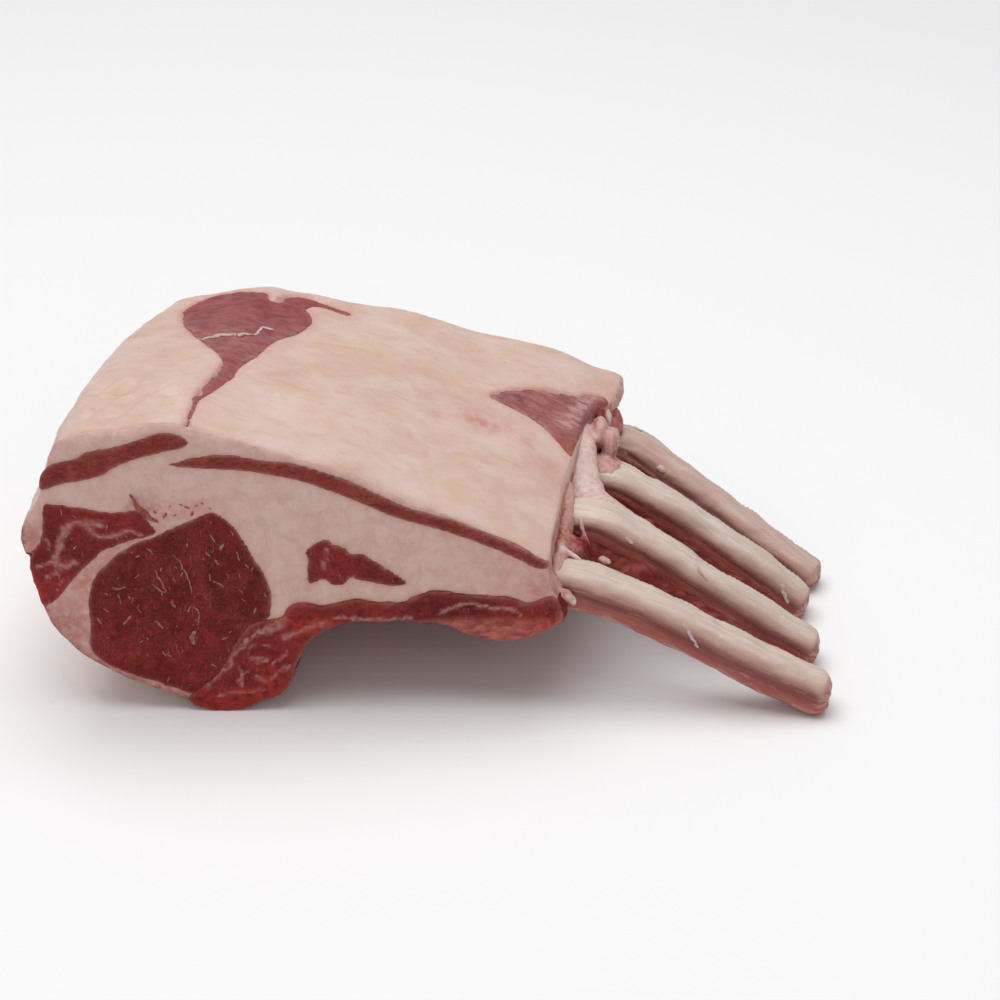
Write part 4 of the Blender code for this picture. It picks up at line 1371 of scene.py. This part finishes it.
@dataclass
class FrenchedEnd:
    """Flesh and sinew left between the bared ribs, at the edge of the cover."""

    finish: bpy.types.Material
    voxel: float = 0.5
    lumps: tuple = (
        ((26.8, 67.5, 46), (2.4, 4.8, 4.6), 0, 10, 0.68), ((30.1, 65.2, 44.2), (2.3, 4.6, 4.6), 0, 10, 0.72),
        ((26.2, 78, 47), (2.4, 3, 3), 0, 0, 0.2), ((19, 21, 35.6), (3.2, 4.4, 3.6), 0, 20, 0.22),
        ((26.6, 81, 40), (3.0, 5.5, 6), 0, 10, 0.3), ((19, 26, 30.5), (5, 7, 6), 0, 10, 0.08),
        ((24, 49, 35), (4, 6, 6), 0, 10, 0.45), ((14, 4.4, 30.6), (2.0, 2.6, 4.2), 0, 20, 0.3),
        ((26, 72, 38), (4, 6, 6), 0, 10, 0.4), ((17.2, 4.4, 32), (1.4, 0.7, 2.4), 20, -20, 1.0),
        ((18.8, 4, 30.6), (1.0, 0.6, 1.6), -20, 0, 1.0), ((16.2, 3.4, 28.6), (1.3, 0.7, 0.8), 0, 10, 1.0),
    )
    bands: tuple = (
        (0.92, 5.2, 5.4, 2.6, ((18.5, 73, 47.4), (20.2, 66, 46.6), (20.8, 60, 45.4), (21.2, 52, 42.6), (23, 43, 39.6))),
        (0.88, 5.2, 5.6, 3.0, ((21.4, 52, 42.2), (23.4, 43.5, 39.4), (27, 38.6, 38.4), (32, 35.6, 36), (36, 33.6, 33))),
        (0.7, 6.2, 5.8, 4.6, ((13, 38.5, 35), (19, 37.2, 36.2), (25.4, 35.8, 36))),
        (0.24, 0.9, 0.8, 0.6, ((19.8, 66, 48.4), (19.6, 58, 46.8), (19.4, 50, 45.2), (18.2, 44, 44), (16.8, 37, 42.6))),
        (0.97, 1.5, 1.3, 0.8, ((26, 27.4, 30), (27.6, 26.6, 29.6), (29.4, 26.4, 29))),
        (0.7, 2.1, 2.1, 3.6, ((17.8, 47, 43.4), (17.6, 36, 41), (16.8, 25, 38.6), (15.2, 13, 35.6), (13.8, 5, 32.5))),
        (0.7, 6.0, 5.6, 4.2, ((10, 12.6, 32.2), (14, 12.2, 31.8), (18, 11.6, 30.6))),
        (0.62, 6.6, 6.4, 4.5, ((20, 60, 37), (27, 60, 38), (32, 59, 36))),
        (0.55, 6, 5.4, 4.2, ((26, 83, 35.6), (32, 82.5, 36), (38, 81, 34))),
        (0.97, 1.3, 1.1, 0.6, ((28.4, 79.5, 48.2), (29.6, 77.5, 46.6), (30.2, 76, 44.8))),
        (0.97, 1.2, 1.0, 0.6, ((16, 15.5, 39.6), (18.6, 15, 38), (21.4, 14.6, 36))),
        (1.0, 0.9, 1.1, 0.5, ((21, 29.8, 41), (21.8, 29, 37), (23.6, 28.6, 32.8))),
    )
    strands: int = 9

    def build(self) -> list[Piece]:
        """Make the piece."""
        shape = bmesh.new()
        routes = []
        for centre, halves, turn, tip, tint in self.lumps:
            lobe(shape, centre, halves, turn, tip)
            routes.append((tint, min(halves), np.array((centre, centre), float)))
        for tint, width, width_end, height, points in (*self.bands, *self.hanging()):
            path = smooth_path(points, 1.0, closed=False)
            share = np.linspace(0, 1, len(path))
            taper = np.sqrt(np.clip(np.minimum(share, 1 - share) * 6, 0.15, 1))
            swept(shape, path, (width + (width_end - width) * share) * taper, height * taper, 14)
            routes.append((tint, min(width, height), path))
        bmesh.ops.recalc_face_normals(shape, faces=shape.faces)
        mesh = remeshed(shape, self.voxel, 2)
        points, out = places(mesh), facing(mesh)
        weights = np.array([1 / np.maximum(near_path(points, path) / size, 0.4) ** 4 for _, size, path in routes])
        tints = np.array([tint for tint, _, _ in routes])
        tint = (weights * tints[:, None]).sum(axis=0) / weights.sum(axis=0)
        calm = 1 - 0.65 * rise(tint, 0.64, 0.8)
        push = 0.4 * grain(points, (2.2, 2.2, 8), 3, 11.0) + 0.2 * grain(points, (1.2, 1.2, 1.6), 2, 12.0)
        set_places(mesh, points + out * (calm * push)[:, None])
        # Painted shade: the tint is lowered, to a darker red, in the dents of the relief and on faces that turn
        # downwards.
        tint -= calm * 0.35 * rise(-push, 0.1, 0.5) + 0.3 * rise(-out[:, 2], 0.0, 0.7) * (tint < 0.95)
        paint(mesh, "tint", np.clip(tint, 0, 1))
        return [finish_piece(mesh, "frenched_end", self.finish, Slot.COVER_LEAN, "fat_body")]

    def hanging(self) -> list[tuple]:
        """Strands that run down from the far corner of the cover to the last rib's root."""
        found = []
        for i in range(self.strands):
            share = i / (self.strands - 1)
            start = (27.4 + 4.6 * share, 79.5 + 4 * share, 48.5 - 3 * share)
            end = (30.4 + 3.6 * share, 74 + 4.5 * share, 40.5 - 0.5 * share)
            middle = [(a + b) / 2 + c for a, b, c in zip(start, end, (0.5, 0.3, 0.4))]
            found.append((0.22 + 0.35 * ((i * 3) % 5) / 4, 0.5, 0.5, 0.7, (start, middle, end)))
        return found


@dataclass
class Strands:
    """Seams and flecks, each a thin tapered strand lying on a muscle's cut surface."""

    name: str
    finish: bpy.types.Material
    muscle: Muscle
    paths: tuple
    node: str = "fat_body"
    faces: tuple = (0,)
    height: float = 0.06

    def build(self) -> list[Piece]:
        """Make one piece of all the strands."""
        shape = bmesh.new()
        loop = self.muscle.loop()
        for number, (width, points) in enumerate(self.paths):
            path = smooth_path(points, 0.4, closed=False)
            flat = np.column_stack((path[:, 0], np.zeros(len(path)), path[:, 1]))
            wander = 0.3 * grain(flat, (1.6, 1.6, 1.6), 3, number + 2.5)
            path = path + wander[:, None]
            share = np.linspace(0, 1, len(path))
            taper = np.sqrt(np.clip(np.minimum(share, 1 - share) * 5, 0.05, 1))
            uneven = 1 + 0.7 * grain(flat, (1.2, 1.2, 1.2), 2, number + 9.5)
            widths = width / 2 * taper * uneven
            for face in self.faces:
                height = self.muscle.stand(path, loop, face)
                depth = -height if face == 0 else FORM.depth + height
                route = np.column_stack((path[:, 0], depth, path[:, 1]))
                route = FORM.carry(route)
                swept(shape, route, widths, self.height * taper, 8, up=(0, 1, 0))
        bmesh.ops.recalc_face_normals(shape, faces=shape.faces)
        mesh = as_mesh(shape, self.name)
        return [finish_piece(mesh, self.name, self.finish, Slot.FAT, self.node)]


@dataclass
class Shreds:
    """Strands and flakes laid on the surface of a finished piece."""

    name: str
    finish: bpy.types.Material
    under: Piece
    node: str
    slot: Slot
    paths: tuple
    flatness: float = 0.5
    spacing: float = 0.5

    def build(self) -> list[Piece]:
        """Make one piece of all the shreds."""
        ground = BVHTree.FromPolygons(
            [vert.co.copy() for vert in self.under.data.vertices],
            [tuple(face.vertices) for face in self.under.data.polygons],
        )
        shape = bmesh.new()
        for number, (width, points) in enumerate(self.paths):
            path = smooth_path(points, self.spacing, closed=False)
            wander = 0.25 * width * grain(path, (1.5, 1.5, 1.5), 2, number + 4.5)
            path = path + wander[:, None]
            laid = []
            for place in FORM.in_metres(path).tolist():
                spot, normal, _, _ = ground.find_nearest(place)
                laid.append([*(spot / MM), *normal])
            laid = np.array(laid)
            route = laid[:, :3] + np.array((FORM.centre_x, FORM.centre_depth, 0)) + 0.12 * laid[:, 3:]
            route[1:-1] = (route[:-2] + 2 * route[1:-1] + route[2:]) / 4
            share = np.linspace(0, 1, len(route))
            taper = np.sqrt(np.clip(np.minimum(share, 1 - share) * 5, 0.06, 1))
            uneven = 1 + 0.5 * grain(path, (1.3, 1.3, 1.3), 2, number + 6.5)
            normal = laid[:, 3:].mean(axis=0)
            widths = width / 2 * taper * uneven
            swept(shape, route, widths, widths * self.flatness, 8, up=normal)
        bmesh.ops.recalc_face_normals(shape, faces=shape.faces)
        mesh = as_mesh(shape, self.name)
        return [finish_piece(mesh, self.name, self.finish, self.slot, self.node)]


@dataclass
class Studio:
    """The floor, the lights and the camera."""

    floor_colour: Colour = (0.93, 0.93, 0.93)
    camera_place: tuple = (0.0, -654.0, 425.0)
    elevation: float = 29.0
    lens: float = 107.7

    def build(self) -> None:
        """Set everything up."""
        self.add_floor()
        self.add_light("key light", (-0.12, 0.05, 1.2), (0.0, 0.0, 0.03), 1.2, 12.4)
        self.add_light("front light", (0.3, -1.2, 0.7), (0.0, 0.0, 0.03), 0.8, 2.0)
        self.add_world()
        self.add_camera()

    def add_floor(self) -> None:
        """A pale plane."""
        shape = bmesh.new()
        bmesh.ops.create_grid(shape, x_segments=1, y_segments=1, size=4.0)
        mesh = as_mesh(shape, "floor")
        r = Recipe("pale floor")
        shade = r.mix(r.noise(400, 1.0), self.floor_colour, tuple(0.99 * c for c in self.floor_colour))
        mesh.materials.append(r.cook(shade, 0.9, r.bump(r.noise(50, 1.0), 0.01, 0.1), Specular_IOR_Level=0.1))
        floor = bpy.data.objects.new("floor", mesh)
        bpy.context.scene.collection.objects.link(floor)

    @staticmethod
    def add_light(name: str, place: Sequence[float], target: Sequence[float], size: float, watts: float) -> None:
        """A square soft light aimed at a place."""
        light = bpy.data.lights.new(name, "AREA")
        light.energy = watts
        light.size = size
        holder = bpy.data.objects.new(name, light)
        holder.location = place
        holder.rotation_euler = (Vector(target) - Vector(place)).to_track_quat("-Z", "Y").to_euler()
        bpy.context.scene.collection.objects.link(holder)

    @staticmethod
    def add_world() -> None:
        """An even white surround."""
        world = bpy.data.worlds.new("surround")
        world.use_nodes = True
        world.node_tree.nodes["Background"].inputs["Color"].default_value = (1, 1, 1, 1)
        world.node_tree.nodes["Background"].inputs["Strength"].default_value = 0.36
        bpy.context.scene.world = world
        bpy.context.scene.view_settings.view_transform = "Standard"

    def add_camera(self) -> None:
        """A long lens that looks down on the rack from the front."""
        data = bpy.data.cameras.new("camera")
        data.lens = self.lens
        data.sensor_width = 36.0
        camera = bpy.data.objects.new("camera", data)
        place = FORM.in_metres(np.array([self.camera_place]))[0]
        camera.location = place
        camera.rotation_euler = (math.radians(90 - self.elevation), 0, 0)
        bpy.context.scene.collection.objects.link(camera)
        bpy.context.scene.camera = camera


RIB_ROUTES = (
    ((-47, 13, 32.2, 0.7), (-34, 13, 29.6, 0.88), (-14, 13, 29.6, 0.95), (6, 12.8, 31.2, 1.05),
     (19, 11.5, 31.6, 1.1), (36, 8.5, 26.4, 1.02), (56, 4.5, 17.2, 1.0), (73, 2, 9.2, 1.02),
     (83.7, 0.3, 5.3, 0.98), (85.4, 0.1, 4.9, 0.95)),
    ((-43, 37, 32.2, 0.7), (-30, 37, 29.6, 0.88), (-10, 37, 30, 0.95), (10, 37, 34, 1.07),
     (24, 35.5, 36.2, 1.12), (38, 32.5, 30.6, 1.03), (54, 28.5, 21.4, 1.0), (70, 25, 11.9, 1.02),
     (82.8, 22.6, 4.7, 1.0), (84.5, 22.3, 4.1, 0.97)),
    ((-39, 60, 32.2, 0.7), (-26, 60, 29.6, 0.88), (-6, 60, 30, 0.95), (15, 60, 34.6, 1.08),
     (29, 59, 36, 1.12), (41, 57, 31, 1.04), (55, 54, 22.6, 1.0), (69, 50.5, 13.6, 1.0),
     (82.3, 47.6, 3.6, 0.97), (84, 47.2, 3, 0.94)),
    ((-35, 83, 32.2, 0.7), (-22, 83, 29.6, 0.88), (-2, 83, 30, 0.92), (20, 83, 34, 1.0),
     (35, 82, 34.6, 1.02), (48, 77.5, 27.5, 0.94), (61, 73, 19.5, 0.9), (75, 67, 10.6, 0.9),
     (86.8, 62.4, 3.4, 0.9), (88.4, 61.8, 2.9, 0.88)),
)
GROOVES = (0.6, 0.1, 0.1, 0.25)
RIB_THICKNESS = (11.3, 10.2, 9.4, 9.2)
BONE_FLUSH = (0.1, 0.05, 0.0, 0.55)

EYE_SEAMS = (
    (0.55, ((-87.3, 42.4), (-86.6, 40.4), (-85.7, 38.4), (-84.8, 35.8))),
    (0.4, ((-88.0, 38.4), (-86.6, 36.6), (-85.0, 35.6))),
    (0.35, ((-82.7, 46.9), (-81.3, 45.4), (-79.9, 42.4), (-78.8, 38.9), (-78.3, 35.3))),
    (0.4, ((-72.9, 53.0), (-71.7, 50.5))), (0.35, ((-69.7, 50.0), (-70.5, 48.0))),
    (0.4, ((-71.9, 45.4), (-70.9, 43.9))), (0.35, ((-72.6, 39.4), (-70.1, 37.4))),
    (0.5, ((-83.7, 33.3), (-82.9, 31.2))),
    (0.5, ((-78.5, 31.7), (-77.1, 30.7), (-76.7, 28.1), (-77.4, 26.1))),
    (1.3, ((-78.0, 24.4), (-79.0, 21.9), (-78.6, 20.2))),
    (0.5, ((-101.1, 31.2), (-99.6, 29.9))), (0.5, ((-94.2, 28.9), (-96.5, 26.0))),
    (0.35, ((-92.1, 31.0), (-91.3, 29.6))), (0.55, ((-88.2, 27.4), (-86.2, 25.0))),
    (0.4, ((-102.6, 28.4), (-102.1, 26.1))), (0.45, ((-98.6, 37.2), (-96.8, 36.8), (-94.9, 37.6))),
    (0.4, ((-97.2, 35.3), (-96.2, 32.4))), (0.5, ((-86.1, 17.4), (-84.3, 16.7))),
    (0.35, ((-89.1, 48.7), (-87.6, 46.8))), (0.4, ((-71.5, 21.8), (-69.6, 22.5))),
    (0.4, ((-66.4, 48.0), (-65.9, 44.9))),
)
SIDE_SEAMS = (
    (1.9, ((-99.8, 55.4), (-103.2, 55.8), (-106.2, 56.0), (-108.7, 54.7), (-109.9, 52.5),
           (-110.6, 50.0), (-111.9, 46.9), (-112.4, 44.9), (-111.0, 43.4), (-108.8, 43.7), (-107.5, 44.4))),
    (1.2, ((-103.7, 54.9), (-102.1, 53.2), (-98.7, 52.0), (-94.7, 53.5), (-92.3, 53.5), (-90.5, 52.4))),
    (0.9, ((-117.1, 43.4), (-114.9, 44.2), (-112.4, 45.2))),
    (0.8, ((-115.2, 39.9), (-113.4, 41.2), (-111.1, 42.4))),
    (0.7, ((-114.2, 48.2), (-113.8, 50.0), (-114.4, 51.5))),
    (0.6, ((-112.9, 35.3), (-112.1, 37.4), (-110.2, 39.9))),
)
CHINE_SEAMS = (
    (1.1, ((-56.5, 26.8), (-59.8, 25.6), (-63.9, 22.5), (-66.3, 19.4), (-68.6, 16.7), (-69.6, 13.6),
           (-72.8, 11.2), (-74.9, 9.0), (-75.6, 7))),
    (2.2, ((-61.5, 23.9), (-59, 24.4), (-57, 25.4), (-55.4, 27.4))),
    (0.9, ((-63.7, 16.2), (-60.6, 16.3), (-60.1, 15.4), (-62.9, 14.7))),
    (0.8, ((-67.5, 14.1), (-66.6, 11), (-67, 7.6))), (0.7, ((-65, 12.3), (-67.6, 9.4))),
    (0.9, ((-62.6, 10.5), (-60, 8.9), (-57.2, 12), (-54.5, 13.6))),
    (1.0, ((-72.7, 4.9), (-69.1, 5.8), (-65, 6), (-60.6, 6.8))), (0.8, ((-73.7, 11), (-70.5, 13.1))),
    (0.7, ((-63.9, 19.5), (-61.5, 20.5), (-58.6, 19.4))), (0.7, ((-58.6, 14.5), (-56, 16.5), (-54.6, 18.4))),
    (1.8, ((-55.2, 22.4), (-51.8, 23.8), (-47.7, 25.8), (-44.2, 26.9))),
    (1.0, ((-41.9, 28.5), (-34.5, 27.8), (-27.7, 27.8), (-23.1, 28.8))),
    (1.0, ((-15.1, 29.8), (-9.4, 32.5), (-2.6, 31.5), (3.1, 31.1), (5.4, 28.5))),
)
TEAR = (
    (1.5, ((-91.4, 0, 61.8), (-90, 0, 59.6), (-88, 0, 57.6), (-85.9, 0, 55.9))),
    (0.8, ((-91, 0, 60.4), (-91.6, 0, 62.6), (-92.4, 0, 64.2))),
)
BLOOD_SPOTS = (
    (0.7, ((-86.8, 0, 59.4), (-86.2, 0, 58.6))), (0.6, ((-84.6, 0, 57.3), (-83.7, 0, 58.2), (-83.5, 0, 59))),
    (0.5, ((-81.8, 0, 57.8), (-81, 0, 58.5))), (0.6, ((-79, 0, 60.8), (-78.2, 0, 60), (-77.6, 0, 60.2))),
    (0.7, ((-77.6, 0, 57.8), (-77, 0, 58.7), (-76.8, 0, 59.4))), (0.5, ((-76.4, 0, 60.6), (-75.4, 0, 61.2))),
    (0.6, ((-74.9, 0, 61.8), (-74, 0, 61.3))), (0.4, ((-80.4, 0, 61.3), (-79.4, 0, 60.9))),
    (0.4, ((-73, 0, 60.4), (-72.2, 0, 59.8))), (0.35, ((-82.9, 0, 60.4), (-82.2, 0, 60.9))),
    (0.35, ((-85.2, 0, 60.6), (-84.6, 0, 60.2))), (0.3, ((-88, 0, 60.2), (-87.5, 0, 59.9))),
)
COVER_SHREDS = (
    (1.5, ((-80.5, 56.4, 95), (-76, 57, 95), (-71, 57.4, 95), (-66, 57.6, 95), (-60.5, 58.4, 95))),
    (0.8, ((-60.5, 58.8, 95), (-59.6, 61.6, 95), (-56.6, 63.4, 95), (-54.4, 62.6, 95))),
)
EDGE_LINE = (
    (1.1, ((18.9, 46.5, 45), (17.8, 40, 44), (16.9, 34, 42.6), (15.8, 28, 41.8))),
    (0.8, ((15.2, 24, 41), (14.7, 20, 40.6), (14.2, 16, 40))),
    (0.6, ((13.4, 12, 39.4), (13, 8, 38.8))),
)
BONE_SHREDS = {
    1: ((1.0, ((46, 3, 24.7), (48, 2, 23.5), (50, 1.5, 21), (51, 1.2, 18.3))),),
    2: ((0.9, ((50, 28, 26), (52, 26, 26), (54, 25, 24))), (1.0, ((33, 28, 36), (35, 27, 34)))),
    3: ((1.0, ((76, 45, 12), (77.5, 44.5, 9), (78.4, 44, 6))), (1.4, ((47, 63, 31), (49, 63, 30)))),
    4: ((1.7, ((43, 72, 33), (45.4, 71.5, 32))), (1.2, ((38, 84, 40), (40, 83.4, 39)))),
}


def small_flecks(loop: Array, count: int, seed: int) -> tuple:
    """Many small flecks of fat over a muscle.

    Args:
        loop: The muscle's outline.
        count: How many.
        seed: Picks their places.

    Returns:
        Width and path of each fleck.
    """
    chance = random.Random(seed)
    low, high = loop.min(axis=0), loop.max(axis=0)
    found = []
    while len(found) < count:
        place = np.array([[chance.uniform(low[i], high[i]) for i in (0, 1)]])
        lean = chance.choice((55, 125, 80)) + chance.uniform(-18, 18)
        half = chance.uniform(0.5, 2.0) / 2
        if inside(place, loop)[0] < 1.2:
            continue
        step = half * np.array((math.cos(math.radians(lean)), math.sin(math.radians(lean))))
        bend = chance.uniform(-0.2, 0.2) * np.array((-step[1], step[0])) / half
        found.append((chance.uniform(0.2, 0.42), (place[0] - step, place[0] + bend, place[0] + step)))
    return tuple(found)


def main() -> None:
    """Build every piece in order and report each one."""
    logging.basicConfig(level=logging.INFO, format="%(name)s %(message)s")
    fat = FatFinish().make()
    dark = LeanFinish("dark lean", (0.125, 0.0085, 0.0095), (0.2, 0.02, 0.02)).make()
    cover = LeanFinish(
        "cover lean", (0.21, 0.028, 0.022), (0.27, 0.046, 0.036), lit=(0.33, 0.085, 0.07), flecks=0.1, relief=0.12
    ).make()
    bared = BaredFinish().make()
    bone = BoneFinish().make()
    sinew = SinewFinish().make()
    pale_sinew = SinewFinish("pale sinew", (0.5, 0.33, 0.3), (0.62, 0.5, 0.47)).make()
    clot = SinewFinish("clotted edge", (0.3, 0.04, 0.032), (0.42, 0.12, 0.1)).make()
    tissue = TissueFinish().make()

    pieces = FatCover(fat).build()
    cover_piece = pieces[0]
    eye = Muscle(
        "eye_lean", "loin_eye", EYE, dark, Slot.DARK_LEAN, 1.0, cell=0.75,
        glow=((-96, 17, 6, 0.35), (-82, 12, 7, 0.35), (-72, 22, 5, 0.3), (-67, 54, 4, 0.25), (-99, 26, 5, 0.2)),
    )
    side = Muscle(
        "side_lean", "side_muscle", SIDE, dark, Slot.DARK_LEAN, 2.0, cell=0.6, seams=SIDE_SEAMS,
        glow=((-106, 57, 7, 0.5), (-113, 38, 7, 0.55), (-95, 56, 6, 0.4)), flank=True,
    )
    strip = {"ragged": 0.16, "wavelength": 4.0, "bulge": 0.2, "lift": 0.1, "back_tuck": 0.8}
    muscles = (
        eye, side,
        Muscle("back_strip_lean", "back_strip", BACK_STRIP, cover, Slot.COVER_LEAN, 3.0, **strip),
        Muscle("cap_strip_lean", "cap_strip", CAP_STRIP, cover, Slot.COVER_LEAN, 4.0, **strip),
        Muscle("islet_lean", "islet_muscle", ISLET, dark, Slot.COVER_LEAN, 5.0, 0.45, 2.5, bulge=0.2,
               glow=((-40, 44, 9, 0.4),), seams=((0.7, ((-44, 49), (-43.5, 46), (-44.5, 43))),)),
    )
    for muscle in muscles:
        pieces += muscle.build()
    pieces += RibMeat(dark).build()
    back_bared = BaredLean(
        "bared_back_lean", "back_strip", BACK_WINDOW, bared, 6.0,
        lambda plan: 0.3 * np.exp(-(((plan[:, 1] - 56) / 14) ** 2)),
        lambda plan: 0.4 * rise(plan[:, 0] + 0.2 * plan[:, 1], -44, -32),
    ).build()
    pieces += back_bared
    pieces += BaredLean(
        "bared_rib_lean", "cap_strip", RIB_WINDOW, bared, 7.0,
        lambda plan: 0.3 + 0.8 * np.exp(-((near_path(plan, np.array(((25, 78), (21, 68), (17, 60)))) / 2.4) ** 2)),
        lambda plan: 0.9 * (1 - rise(plan[:, 1], 48, 58)),
    ).build()
    for i, (route, groove, flush) in enumerate(zip(RIB_ROUTES, GROOVES, BONE_FLUSH)):
        number = i + 1
        rib = Rib(number, route, bone, groove, flush, thickness=RIB_THICKNESS[i]).build()
        pieces += rib
        pieces += Shreds(
            f"rib_{number}_shreds", pale_sinew, rib[0], f"rib_bone_{number}", Slot.BONE, BONE_SHREDS[number]
        ).build()
        if number > 1:
            pieces += RibFlesh(number, route, dark).build()
    pieces += FrenchedEnd(tissue).build()
    eye_flecks = EYE_SEAMS + small_flecks(eye.loop(), 60, 3)
    pieces += Strands("eye_marbling", sinew, eye, eye_flecks, faces=(0, FORM.depth)).build()
    side_flecks = small_flecks(side.loop(), 16, 5)
    pieces += Strands("side_seams", sinew, side, side_flecks, faces=(0, FORM.depth)).build()
    pieces += Shreds("bared_strand", pale_sinew, back_bared[0], "back_strip", Slot.FAT, COVER_SHREDS).build()
    torn = SinewFinish("torn flap", (0.25, 0.045, 0.028), (0.36, 0.1, 0.05)).make()
    pieces += Shreds("blood_spots", clot, cover_piece, "fat_body", Slot.COVER_LEAN, BLOOD_SPOTS, 0.15).build()
    pieces += Shreds("tear_flap", torn, cover_piece, "fat_body", Slot.FAT, TEAR, 0.5).build()
    pieces += Shreds("edge_line", clot, cover_piece, "fat_body", Slot.COVER_LEAN, EDGE_LINE, 0.4).build()
    Studio().build()
    LOG.info("%d pieces", len(pieces))


if __name__ == "__main__":
    main()
